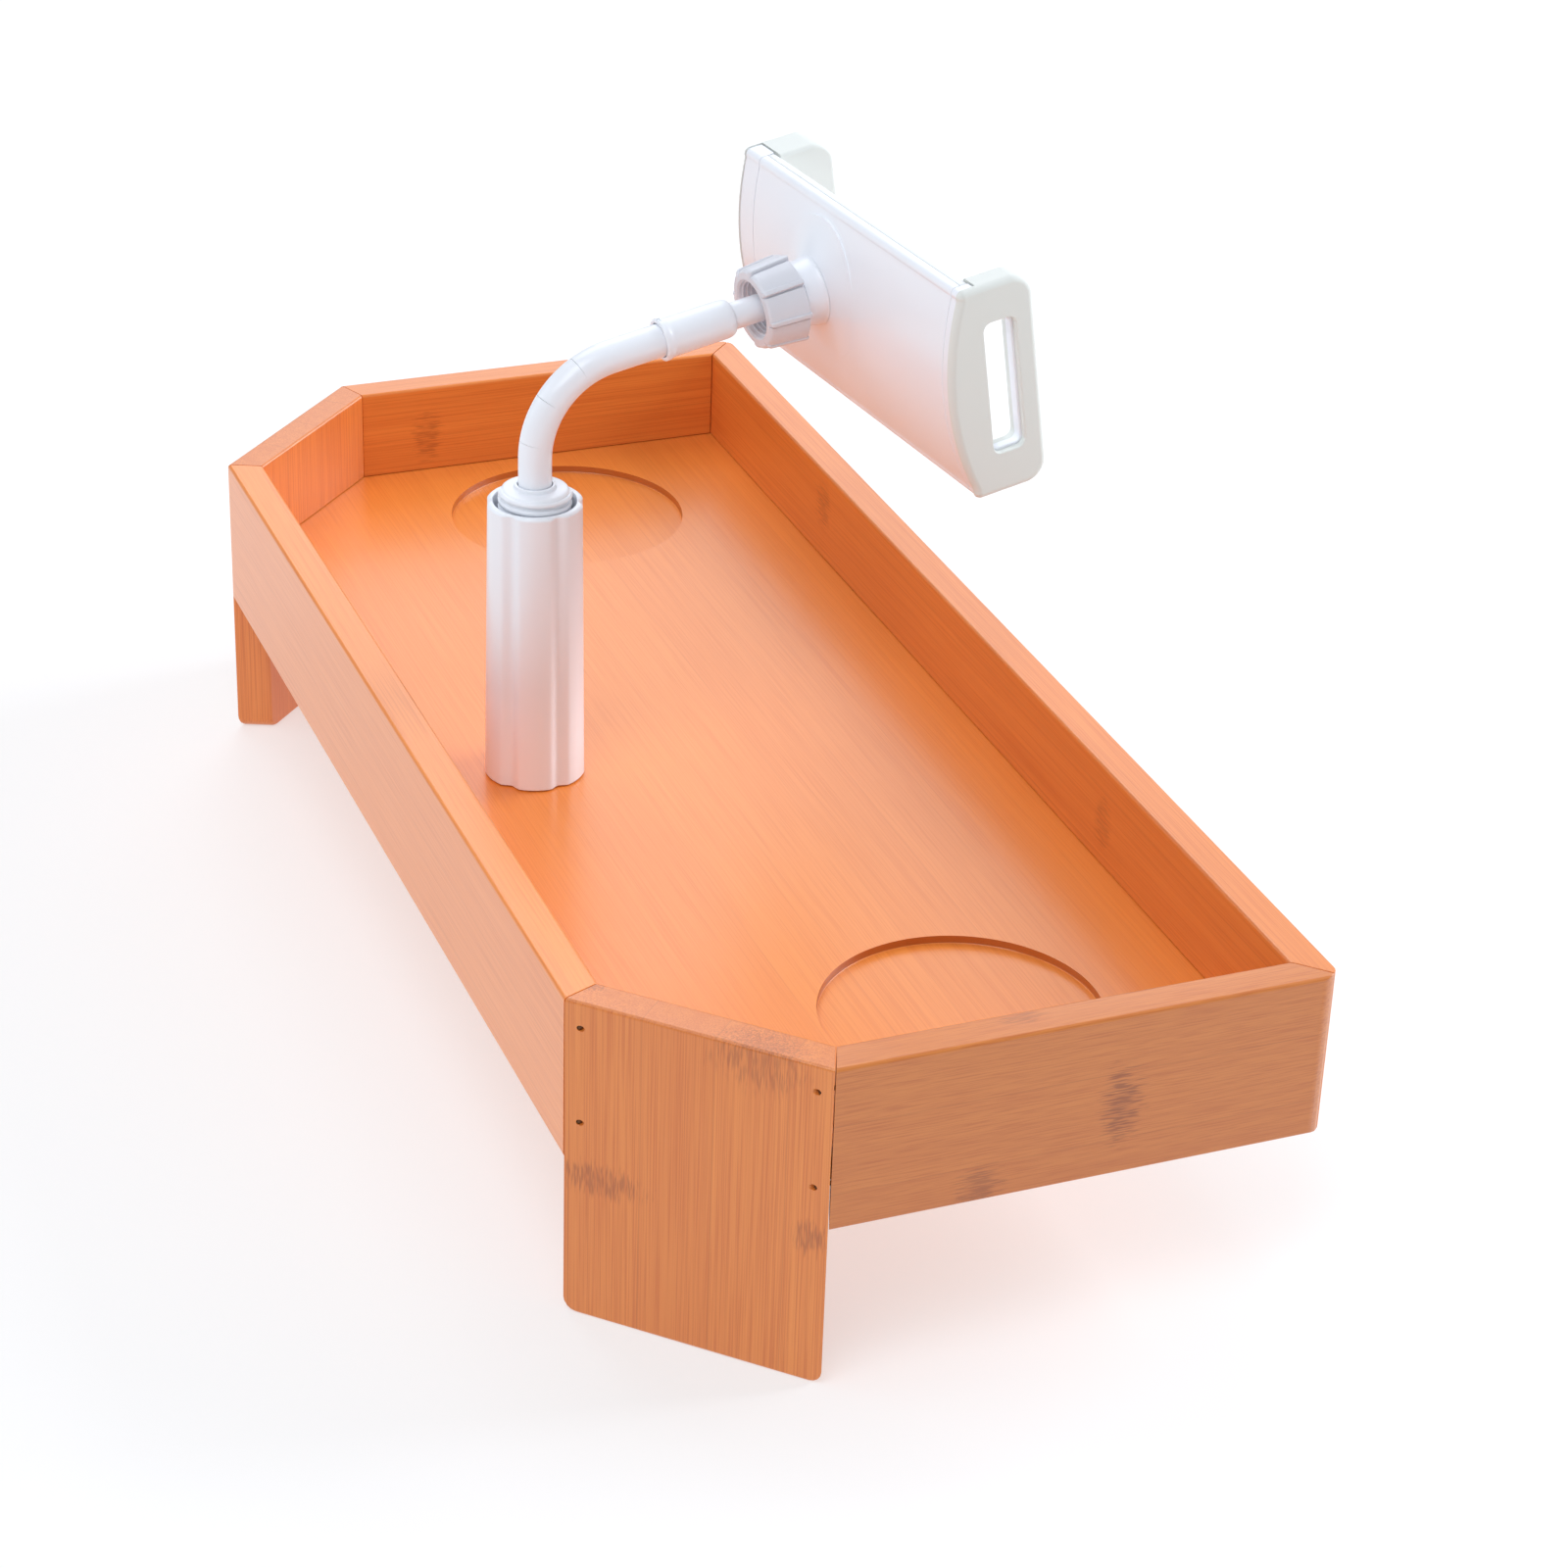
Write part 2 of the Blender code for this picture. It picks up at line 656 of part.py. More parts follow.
def mounting_hardware(stand):
    """Screw and washer below the floor panel, and the insert that the screw goes into."""
    under = -FLOOR_THICKNESS
    washer_top = under - FIT
    washer_low = washer_top - MOUNT_WASHER_THICKNESS
    head_top = washer_low - FIT
    hole = MOUNT_SCREW_RADIUS + FIT
    insert_low = 2.0 * FIT
    insert = turned([(hole, insert_low), (INSERT_RADIUS, insert_low),
                     (INSERT_RADIUS, insert_low + INSERT_LENGTH), (hole, insert_low + INSERT_LENGTH)],
                    SMALL_STEPS * 2)
    settle(piece("threaded_insert", insert, BRASS), stand)
    washer = turned([(hole, washer_low), (MOUNT_WASHER_RADIUS, washer_low),
                     (MOUNT_WASHER_RADIUS, washer_top), (hole, washer_top)], SMALL_STEPS * 2)
    settle(piece("mounting_washer", washer, STEEL), stand)
    tip = insert_low + INSERT_LENGTH - MOUNT_SCREW_RADIUS / 2.0
    head_low = head_top - MOUNT_HEAD_HEIGHT
    screw = turned([(0.0, head_low), (MOUNT_HEAD_RADIUS - MOUNT_HEAD_ROUND, head_low),
                    (MOUNT_HEAD_RADIUS, head_low + MOUNT_HEAD_ROUND), (MOUNT_HEAD_RADIUS, head_top),
                    (MOUNT_SCREW_RADIUS, head_top), (MOUNT_SCREW_RADIUS, tip - MOUNT_SCREW_RADIUS / 2.0),
                    (MOUNT_SCREW_RADIUS / 2.0, tip), (0.0, tip)], SMALL_STEPS * 2)
    settle(piece("mounting_screw", screw, STEEL), stand)


# Gooseneck

def neck_ring(distance):
    """A ring of points on the gooseneck's surface."""
    place = neck_place(distance)
    ring = []
    for i in range(TUBE_STEPS):
        angle = 2.0 * math.pi * i / TUBE_STEPS
        ring.append(place @ Vector((NECK_RADIUS * math.cos(angle), NECK_RADIUS * math.sin(angle), 0.0)))
    return ring


def ring_on_ball(joint, radius):
    """The ring where the gooseneck's surface leaves a ball around a joint."""
    middle = neck_place(joint).translation
    ring = []
    for i in range(TUBE_STEPS):
        near, far = 0.0, 2.0 * radius
        for _ in range(40):
            reach = (near + far) / 2.0
            point = neck_ring(joint + reach)[i]
            if (point - middle).length < radius:
                near = reach
            else:
                far = reach
        ring.append(point)
    return ring


def ball_cap(joint, radius, rim, rings=3):
    """Rings over a ball from its rim to its top, the last of one point."""
    place = neck_place(joint)
    middle = place.translation
    top = (place.to_3x3() @ Vector((0.0, 0.0, 1.0))) * radius
    cap = []
    for step in range(1, rings):
        share = step / rings
        ring = []
        for point in rim:
            spoke = (point - middle) * (1.0 - share) + top * share
            ring.append(middle + spoke.normalized() * radius)
        cap.append(ring)
    cap.append([middle + top])
    return cap


def neck_link(index, parent_home):
    """One stretch of the gooseneck: a hollow start and a domed end, each part of a ball on its joint."""
    rings = []
    if index == 0:
        start = -NECK_TAIL
        rings.append(neck_ring(start))
    else:
        joint = neck_joint_at(index)
        rim = ring_on_ball(joint, NECK_DOME_RADIUS + FIT)
        cap = ball_cap(joint, NECK_DOME_RADIUS + FIT, rim)
        rings += list(reversed(cap)) + [rim]
        start = joint + NECK_DOME_RADIUS
    if index == NECK_JOINTS:
        end = NECK_END + NECK_TONGUE
        last = [neck_ring(end)]
    else:
        joint = neck_joint_at(index + 1)
        rim = ring_on_ball(joint, NECK_DOME_RADIUS)
        last = [rim] + ball_cap(joint, NECK_DOME_RADIUS, rim)
        end = joint + NECK_DOME_RADIUS / 2.0
    steps = max(2, round((end - start) / NECK_RING_SPACING))
    for step in range(1 if index == 0 else 0, steps):
        rings.append(neck_ring(start + (end - start) * step / steps))
    rings += last
    bm = loft(rings)
    bm.transform((STAND.inverted() @ PLACES[parent_home.name]).inverted())
    return settle(piece(f"gooseneck_link_{index + 1}", bm, WHITE_PLASTIC), parent_home)


# Ball joint, about the stud's axis with the ball's centre at zero

def ball_points(radius, start_deg, end_deg, steps):
    """Points on a ball's section as (radius, height), angles counted from the top."""
    points = []
    for i in range(steps + 1):
        angle = math.radians(start_deg + (end_deg - start_deg) * i / steps)
        points.append((radius * math.sin(angle), radius * math.cos(angle)))
    return points


def coupling(home_of_stud):
    """The sleeve that joins the gooseneck to the ball stud, bored from both ends."""
    tip = -BALL_STANDOFF
    rim = tip - COUPLING_LENGTH
    neck_bore = NECK_RADIUS + FIT
    stud_bore = STUD_RADIUS + FIT
    neck_floor = rim + NECK_TONGUE + FIT
    stud_floor = tip - STUD_TONGUE - FIT
    shoulder = tip - COUPLING_TIP_LENGTH
    steps = 4
    nose = []
    for i in range(steps + 1):
        angle = math.radians(90.0 * i / steps)
        nose.append((COUPLING_TIP_RADIUS + (COUPLING_RADIUS - COUPLING_TIP_RADIUS) * math.cos(angle),
                     shoulder + COUPLING_TIP_LENGTH * math.sin(angle)))
    profile = [(0.0, neck_floor), (neck_bore, neck_floor), (neck_bore, rim), (COUPLING_RIM_RADIUS, rim),
               (COUPLING_RIM_RADIUS, rim + COUPLING_RIM_LENGTH),
               (COUPLING_RADIUS, rim + COUPLING_RIM_LENGTH + COUPLING_RIM_FALL)]
    profile += nose
    profile += [(stud_bore, tip), (stud_bore, stud_floor), (0.0, stud_floor)]
    settle(piece("coupling_sleeve", turned(profile), WHITE_PLASTIC), home_of_stud)


def ball_stud(home_of_stud):
    """The ball and its neck, which goes into the coupling."""
    low = -BALL_STANDOFF - STUD_TONGUE
    meets = math.degrees(math.asin(STUD_RADIUS / BALL_RADIUS))
    profile = [(0.0, low), (STUD_RADIUS, low)]
    profile += list(reversed(ball_points(BALL_RADIUS, 0.0, 180.0 - meets, 12)))
    settle(piece("ball_stud", turned(profile, BALL_STEPS), WHITE_PLASTIC), home_of_stud)


def ball_seat(home_of_seat):
    """The thin cup behind the ball."""
    inner = ball_points(BALL_RADIUS + FIT, 0.0, SEAT_REACH_DEG, 6)
    outer = ball_points(BALL_RADIUS + FIT + SEAT_THICKNESS, 0.0, SEAT_REACH_DEG, 6)
    cup = turned(inner + list(reversed(outer)), BALL_STEPS)
    settle(piece("ball_seat", cup, GREY_PLASTIC), home_of_seat)


def clamp_ring(home_of_socket):
    """The ring that the nut presses on the ball."""
    front = SOCKET_FRONT - RING_LENGTH
    hollow = BALL_RADIUS + FIT
    start = math.degrees(math.acos(SOCKET_FRONT / hollow))
    end = 180.0 - math.degrees(math.asin(RING_MOUTH_RADIUS / hollow))
    profile = ball_points(hollow, start, end, 6)
    profile += [(RING_MOUTH_RADIUS + RING_MOUTH_FLARE, front), (SOCKET_RADIUS, front),
                (SOCKET_RADIUS, SOCKET_FRONT)]
    settle(piece("clamp_ring", turned(profile), GREY_PLASTIC), home_of_socket)


def socket_base(home_of_socket):
    """The socket's back: a pocket for the seat, a flared foot and the stem that the clamp turns on."""
    front = SOCKET_FRONT + FIT
    back = SOCKET_BACK
    flare = FLANGE_BACK - FLARE_LENGTH
    reach = math.degrees(math.acos(front / POCKET_RADIUS))
    stem_end = PIVOT_FACE + FIT
    hole = PIVOT_SCREW_RADIUS + FIT
    hole_floor = stem_end - PIVOT_SCREW_DEPTH - FIT
    profile = ball_points(POCKET_RADIUS, 0.0, reach, 8)
    profile += [(SOCKET_RADIUS, front)]
    width, rise = FLANGE_RADIUS - SOCKET_RADIUS, FLARE_LENGTH - FLANGE_EDGE
    for i in range(6):
        angle = math.radians(90.0 * i / 5.0)
        profile.append((FLANGE_RADIUS - width * math.cos(angle), flare + rise * math.sin(angle)))
    profile += [(FLANGE_RADIUS, FLANGE_BACK), (SOCKET_RADIUS, FLANGE_BACK), (SOCKET_RADIUS, back),
                (PIVOT_RADIUS, back), (PIVOT_RADIUS, stem_end),
                (hole, stem_end), (hole, hole_floor), (0.0, hole_floor)]
    settle(piece("socket_base", turned(profile), WHITE_PLASTIC), home_of_socket)


def pivot_hardware(home_of_socket):
    """Washer and screw that hold the clamp's shell on the stem, from inside the shell."""
    washer_low = PIVOT_FACE + 2.0 * FIT
    washer_high = washer_low + PIVOT_WASHER_THICKNESS
    hole = PIVOT_SCREW_RADIUS + FIT
    washer = turned([(hole, washer_low), (PIVOT_WASHER_RADIUS, washer_low),
                     (PIVOT_WASHER_RADIUS, washer_high), (hole, washer_high)], SMALL_STEPS * 2)
    settle(piece("pivot_washer", washer, STEEL), home_of_socket)
    head_low = washer_high + FIT
    tip = PIVOT_FACE + FIT - PIVOT_SCREW_DEPTH
    screw = turned([(0.0, tip), (PIVOT_SCREW_RADIUS, tip), (PIVOT_SCREW_RADIUS, head_low),
                    (PIVOT_HEAD_RADIUS, head_low), (PIVOT_HEAD_RADIUS, head_low + PIVOT_HEAD_HEIGHT / 2.0),
                    (PIVOT_HEAD_RADIUS / 2.0, head_low + PIVOT_HEAD_HEIGHT),
                    (0.0, head_low + PIVOT_HEAD_HEIGHT)], SMALL_STEPS)
    settle(piece("pivot_screw", screw, STEEL), home_of_socket)


def nut_outline(radius):
    """Section of the nut: flat panels, each with a raised rib along one edge."""
    pitch = 360.0 / NUT_FACETS
    points = []
    for facet in range(NUT_FACETS):
        for turn, share in NUT_PANEL:
            angle = math.radians(pitch * (facet + turn))
            reach = radius - NUT_STEP * share
            points.append((reach * math.cos(angle), reach * math.sin(angle)))
    return points


def locking_nut(home_of_nut):
    """The nut: its bore turns on the socket, and its open mouth leaves room for the stud."""
    front = NUT_BACK - NUT_LENGTH
    stations = ((front, NUT_FRONT_RADIUS - NUT_CHAMFER), (front + NUT_CHAMFER, NUT_FRONT_RADIUS),
                (NUT_BACK - NUT_CHAMFER / 2.0, NUT_RADIUS), (NUT_BACK, NUT_RADIUS - NUT_CHAMFER / 2.0))
    rings = [[(p[0], p[1], height) for p in nut_outline(radius)] for height, radius in stations]
    made = piece("locking_nut", loft(rings), GREY_PLASTIC)
    step = SOCKET_FRONT - RING_LENGTH - FIT
    bore = SOCKET_RADIUS + FIT
    cutter = turned([(0.0, front - FIT), (NUT_MOUTH_RADIUS, front - FIT), (NUT_MOUTH_RADIUS, front),
                     (NUT_THROAT_RADIUS, step), (bore, step), (bore, NUT_BACK + FIT), (0.0, NUT_BACK + FIT)])
    return settle(cut(made, cutter), home_of_nut)


# Tablet clamp: X along it, Y towards the tablet, Z up it, zero at the middle of its back edges

def clamp_section(front, inset=0.0):
    """Section of the clamp in Y and Z: a swelling back and a flat front."""
    half = CLAMP_HEIGHT / 2.0 - inset
    edge = CLAMP_EDGE + inset
    steps = 8
    corners = [Vector((front, -half)), Vector((front, half))]
    radii = [0.0, 0.0]
    for i in range(steps + 1):
        share = 1.0 - 2.0 * i / steps
        corners.append(Vector((edge - CLAMP_BULGE * (1.0 - share * share), half * share)))
        radii.append(max(0.0, CLAMP_CORNER_RADIUS - inset) if i in (0, steps) else 0.0)
    return rounded(corners, radii)


def back_depth(height):
    """Depth of the clamp's swelling back at a height above its middle."""
    share = 2.0 * height / CLAMP_HEIGHT
    return CLAMP_EDGE - CLAMP_BULGE * (1.0 - share * share)


def cover_screw_spots():
    """(x, z) of the four screws that hold the cover."""
    x = SHELL_END - COVER_SCREW_INSET_X + CLAMP_END_WALL
    z = CLAMP_HEIGHT / 2.0 - COVER_SCREW_INSET_Z
    return [(sx * x, sz * z) for sx in (-1.0, 1.0) for sz in (-1.0, 1.0)]


def back_shell(home_of_clamp):
    """The clamp's hollow back, with a mound round the socket, bosses for screws and holes for the
    stem and rods."""
    block = along_x(clamp_section(SHELL_FRONT), -SHELL_END, SHELL_END)
    made = piece("clamp_back_shell", block, WHITE_PLASTIC)
    mound_top = FLANGE_BACK + FIT - CLAMP_AT
    mound_edge = FLANGE_RADIUS + MOUND_SPREAD
    root = mound_top + MOUND_DEPTH + CLAMP_SKIN / 2.0
    mound = [(0.0, mound_top), (FLANGE_RADIUS, mound_top), (mound_edge, mound_top + MOUND_DEPTH),
             (mound_edge, root), (0.0, root)]
    turn = Matrix.Translation((PIVOT_OFFSET_X, 0.0, PIVOT_OFFSET_Z)) @ Matrix.Rotation(-math.pi / 2.0, 4, "X")
    join(made, moved(turned(mound), turn))
    cut(made, along_x(clamp_section(CLAMP_FACE, CLAMP_SKIN), -CAVITY_END, CAVITY_END))
    pad_low = -CLAMP_BACK - PIVOT_PAD_RISE
    pad_high = -CLAMP_BACK + CLAMP_SKIN + PIVOT_PAD_RISE
    join(made, rod_along_y(SOCKET_RADIUS, -CLAMP_BACK, pad_high, PIVOT_OFFSET_X, PIVOT_OFFSET_Z, ROUND_STEPS))
    cut(made, rod_along_y(SOCKET_RADIUS + FIT, pad_high, pad_high + CLAMP_SKIN, PIVOT_OFFSET_X, PIVOT_OFFSET_Z,
                          ROUND_STEPS))
    cut(made, rod_along_y(SOCKET_RADIUS + FIT, mound_top - FIT, pad_low, PIVOT_OFFSET_X, PIVOT_OFFSET_Z,
                          ROUND_STEPS))
    for x, z in cover_screw_spots():
        low = back_depth(abs(z) + BOSS_RADIUS) + 2.0 * FIT
        join(made, rod_along_y(BOSS_RADIUS, low, SHELL_FRONT - FIT, x, z))
        floor = COVER_BACK - COVER_SCREW_DEPTH - FIT
        cut(made, rod_along_y(COVER_SCREW_RADIUS + FIT, floor, CLAMP_FACE, x, z))
    for z in (-JAW_SCREW_SPACING / 2.0, JAW_SCREW_SPACING / 2.0):
        end = -SHELL_END + JAW_SCREW_DEPTH + CLAMP_END_WALL / 2.0
        join(made, rod_along_x(JAW_BOSS_RADIUS, -SHELL_END + CLAMP_END_WALL / 2.0, end, ROD_DEPTH, z))
        cut(made, rod_along_x(JAW_SCREW_RADIUS + FIT, -SHELL_END - FIT, -SHELL_END + JAW_SCREW_DEPTH + FIT,
                              ROD_DEPTH, z))
    for z in (-ROD_SPACING / 2.0, ROD_SPACING / 2.0):
        cut(made, rod_along_x(ROD_RADIUS + FIT, CAVITY_END - CLAMP_END_WALL, SHELL_END + FIT, ROD_DEPTH, z))
    cut(made, rod_along_y(PIVOT_RADIUS + FIT, pad_low - FIT, pad_high + CLAMP_SKIN, PIVOT_OFFSET_X,
                          PIVOT_OFFSET_Z, BALL_STEPS))
    return settle(made, home_of_clamp)


def front_cover(home_of_clamp):
    """The flat plate that the tablet lies against."""
    half = CLAMP_HEIGHT / 2.0
    corners = [Vector(c) for c in ((COVER_BACK, -half), (CLAMP_FACE, -half),
                                   (CLAMP_FACE, half), (COVER_BACK, half))]
    outline = rounded(corners, [0.0, COVER_EDGE_RADIUS, COVER_EDGE_RADIUS, 0.0])
    made = piece("clamp_front_cover", along_x(outline, -SHELL_END, SHELL_END), COVER_GREY)
    for x, z in cover_screw_spots():
        cut(made, rod_along_y(COVER_SCREW_RADIUS + FIT, COVER_BACK - FIT, CLAMP_FACE + FIT, x, z))
        cut(made, rod_along_y(COVER_SCREW_HEAD_RADIUS + FIT, CLAMP_FACE - COVER_SCREW_HEAD_HEIGHT - FIT,
                              CLAMP_FACE + FIT, x, z))
    return settle(made, home_of_clamp)


def cover_screws(home_of_clamp):
    """Screws through the cover into the shell's bosses."""
    head_low = CLAMP_FACE - COVER_SCREW_HEAD_HEIGHT
    tip = COVER_BACK - COVER_SCREW_DEPTH
    profile = [(0.0, tip), (COVER_SCREW_RADIUS, tip), (COVER_SCREW_RADIUS, head_low),
               (COVER_SCREW_HEAD_RADIUS, head_low), (COVER_SCREW_HEAD_RADIUS, CLAMP_FACE - FIT),
               (0.0, CLAMP_FACE - FIT)]
    for index, (x, z) in enumerate(cover_screw_spots()):
        place = Matrix.Translation((x, 0.0, z)) @ Matrix.Rotation(-math.pi / 2.0, 4, "X")
        screw = moved(turned(profile, SMALL_STEPS), place)
        settle(piece(f"cover_screw_{index + 1}", screw, STEEL), home_of_clamp)


def jaw_section():
    """Section of a jaw: the clamp's own section at its foot, and a narrower tongue beyond the face."""
    half = JAW_HEIGHT / 2.0
    tip = CLAMP_FACE + JAW_REACH
    foot = CLAMP_FACE - FIT
    radius = JAW_CORNER_RADIUS
    back = clamp_section(foot)
    outline = [back[0], (foot, -half)]
    outline += arc((tip - radius, radius - half), radius, 270.0, 360.0, 3)
    outline += arc((tip - radius, half - radius), radius, 0.0, 90.0, 3)
    return outline + [(foot, half)] + back[1:]


def slot_section(grow):
    """Section of the finger slot."""
    low = CLAMP_FACE + SLOT_START
    half = SLOT_HEIGHT / 2.0 + grow
    return box_outline(low - grow, SLOT_OFFSET - half, low + SLOT_WIDTH + grow, SLOT_OFFSET + half,
                       SLOT_RADIUS + grow)


def jaw(name, side, plate):
    """A jaw's plastic core, a plate on the clamp's end with a slotted tongue."""
    low, high = sorted((side * PLATE_INNER, side * (PLATE_INNER + plate)))
    made = piece(name, along_x(jaw_section(), low, high), WHITE_PLASTIC)
    return cut(made, along_x(slot_section(-SLOT_LIP), low - FIT, high + FIT))


def jaw_pad(name, side, plate, home_of_jaw):
    """The rubber boot over a jaw: an outer skin, a rim round the tongue and a gripping face."""
    tip = CLAMP_FACE + JAW_REACH + FIT + PAD_RIM
    half = CLAMP_HEIGHT / 2.0 + PAD_PROUD
    radius = PAD_CORNER_RADIUS
    outline = arc((tip - radius, radius - half), radius, 270.0, 360.0, 5)
    outline += arc((tip - radius, half - radius), radius, 0.0, 90.0, 5)
    outline += clamp_section(CLAMP_FACE, -PAD_PROUD)[2:]
    plate_outer = PLATE_INNER + plate
    outer = plate_outer + FIT + PAD_THICKNESS
    made = piece(name, along_x(outline, *sorted((side * outer, side * PAD_INNER))), PALE_RUBBER)
    wide = CLAMP_HEIGHT
    tongue_half = JAW_HEIGHT / 2.0 + FIT
    foot = CLAMP_FACE + FIT
    tongue = CLAMP_FACE + JAW_REACH + FIT
    pocket = [(-wide, -wide), (foot, -wide), (foot, -tongue_half), (tongue, -tongue_half),
              (tongue, tongue_half), (foot, tongue_half), (foot, wide), (-wide, wide)]
    cut(made, along_x(pocket, *sorted((side * (plate_outer + FIT), side * (PLATE_INNER - FIT)))))
    clear = box_outline(-wide, -wide, foot, wide)
    cut(made, along_x(clear, *sorted((side * PLATE_INNER, side * (PAD_INNER - PAD_GRIP)))))
    cut(made, along_x(slot_section(0.0), *sorted((side * (outer + FIT), side * (PAD_INNER - FIT)))))
    return settle(made, home_of_jaw)


def fixed_jaw(home_of_clamp):
    """The jaw at the clamp's far end, screwed to the shell."""
    made = jaw("fixed_jaw", -1.0, FIXED_JAW_PLATE)
    head = JAW_SCREW_HEAD_HEIGHT - FIXED_PLATE_OUTER
    tip = JAW_SCREW_DEPTH - SHELL_END
    for index, sign in enumerate((-1.0, 1.0)):
        z = sign * JAW_SCREW_SPACING / 2.0
        outside = -FIXED_PLATE_OUTER - FIT
        cut(made, rod_along_x(JAW_SCREW_RADIUS + FIT, outside, FIT - PLATE_INNER, ROD_DEPTH, z))
        cut(made, rod_along_x(JAW_SCREW_HEAD_RADIUS + FIT, outside, head + FIT, ROD_DEPTH, z))
        profile = [(0.0, -FIXED_PLATE_OUTER), (JAW_SCREW_HEAD_RADIUS, -FIXED_PLATE_OUTER),
                   (JAW_SCREW_HEAD_RADIUS, head), (JAW_SCREW_RADIUS, head),
                   (JAW_SCREW_RADIUS, tip), (0.0, tip)]
        place = Matrix.Translation((0.0, ROD_DEPTH, z)) @ Matrix.Rotation(math.pi / 2.0, 4, "Y")
        screw = moved(turned(profile, SMALL_STEPS), place)
        settle(piece(f"fixed_jaw_screw_{index + 1}", screw, STEEL), home_of_clamp)
    settle(made, home_of_clamp)
    jaw_pad("fixed_jaw_pad", -1.0, FIXED_JAW_PLATE, home_of_clamp)


def sliding_jaw(home_of_jaw):
    """The jaw that pulls out, with the two headed rods that guide it."""
    made = jaw("sliding_jaw", 1.0, JAW_PLATE)
    rod_end = PLATE_INNER + JAW_PLATE - 2.0 * FIT
    head = SPRING_FREE_END
    for index, sign in enumerate((-1.0, 1.0)):
        z = sign * ROD_SPACING / 2.0
        cut(made, rod_along_x(ROD_RADIUS + FIT, PLATE_INNER - FIT, rod_end + FIT, ROD_DEPTH, z))
        profile = [(0.0, head - ROD_HEAD_LENGTH), (ROD_HEAD_RADIUS, head - ROD_HEAD_LENGTH),
                   (ROD_HEAD_RADIUS, head), (ROD_RADIUS, head), (ROD_RADIUS, rod_end), (0.0, rod_end)]
        place = Matrix.Translation((0.0, ROD_DEPTH, z)) @ Matrix.Rotation(math.pi / 2.0, 4, "Y")
        rod = moved(turned(profile, SMALL_STEPS), place)
        settle(piece(f"guide_rod_{index + 1}", rod, STEEL), home_of_jaw)
    settle(made, home_of_jaw)
    jaw_pad("sliding_jaw_pad", 1.0, JAW_PLATE, home_of_jaw)


def jaw_spring(index, home_of_clamp):
    """A compression spring on a guide rod, between the shell's end wall and the rod's head."""
    z = (-1.0, 1.0)[index] * ROD_SPACING / 2.0
    coil_radius = ROD_RADIUS + FIT + SPRING_WIRE_RADIUS * 2.0
    low = SPRING_FREE_END + FIT + SPRING_WIRE_RADIUS * 1.5
    high = CAVITY_END - FIT - SPRING_WIRE_RADIUS * 1.5
    count = SPRING_TURNS * SPRING_STEPS_PER_TURN
    rings = []
    for step in range(count + 1):
        share = step / count
        angle = 2.0 * math.pi * SPRING_TURNS * share
        outward = Vector((0.0, math.cos(angle), math.sin(angle)))
        centre = Vector((low + (high - low) * share, ROD_DEPTH, z)) + outward * coil_radius
        ring = []
        for side in range(SPRING_SIDES):
            turn = 2.0 * math.pi * side / SPRING_SIDES
            ring.append(centre + outward * SPRING_WIRE_RADIUS * math.cos(turn)
                        + Vector((1.0, 0.0, 0.0)) * SPRING_WIRE_RADIUS * math.sin(turn))
        rings.append(ring)
    settle(piece(f"jaw_spring_{index + 1}", loft(rings), STEEL), home_of_clamp)


# Assembly

STAND = (Matrix.Translation((HOLDER_X, HOLDER_Y, FLOOR_TOP))
         @ Matrix.Rotation(math.radians(HOLDER_YAW_DEG), 4, "Z"))


def main():
    """Clears the scene and builds the part."""
    for old in list(bpy.data.objects):
        bpy.data.objects.remove(old)
    tray()

    stand = home("holder_stand", STAND)
    grip_sleeve(stand)
    threaded_collar(stand)
    mounting_hardware(stand)

    joint_home = home("neck_swivel", STAND @ neck_place(0.0), stand)
    neck_link(0, joint_home)
    for index in range(1, NECK_JOINTS + 1):
        joint_home = home(f"neck_bend_{index}", STAND @ neck_place(neck_joint_at(index)), joint_home)
        neck_link(index, joint_home)

    ball_place = STAND @ neck_place(BALL_AT)
    stud_home = home("ball_centre", ball_place, joint_home)
    coupling(stud_home)
    ball_stud(stud_home)
    seat_home = home("ball_tilt", ball_place, stud_home)
    ball_seat(seat_home)
    socket_home = home("ball_pan", ball_place, seat_home)
    clamp_ring(socket_home)
    socket_base(socket_home)
    pivot_hardware(socket_home)
    nut_home = home("nut_turn", ball_place, socket_home)
    locking_nut(nut_home)

    clamp_place = (ball_place @ Matrix.Translation((-PIVOT_OFFSET_X, PIVOT_OFFSET_Z, CLAMP_AT))
                   @ Matrix.Rotation(math.pi / 2.0, 4, "X"))
    spin_home = home("clamp_spin", ball_place, socket_home)
    clamp_home = home("clamp_body", clamp_place, spin_home)
    back_shell(clamp_home)
    front_cover(clamp_home)
    cover_screws(clamp_home)
    fixed_jaw(clamp_home)
    for index in (0, 1):
        jaw_spring(index, clamp_home)
    jaw_home = home("jaw_slide", clamp_place, clamp_home)
    sliding_jaw(jaw_home)


main()
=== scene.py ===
"""Bathtub tray with a gooseneck tablet holder: fine shapes, finishes, light and camera.

The tray's rails and legs are copies of their solids with eased edges. The floor panel and the holder's
moulded pieces are drawn again with finer curves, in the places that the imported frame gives.
"""

import json
import math

import bmesh
import bpy
from bpy.props import FloatProperty, FloatVectorProperty, IntProperty, PointerProperty
from bpy.types import Operator, Panel, PropertyGroup
from mathutils import Matrix, Vector


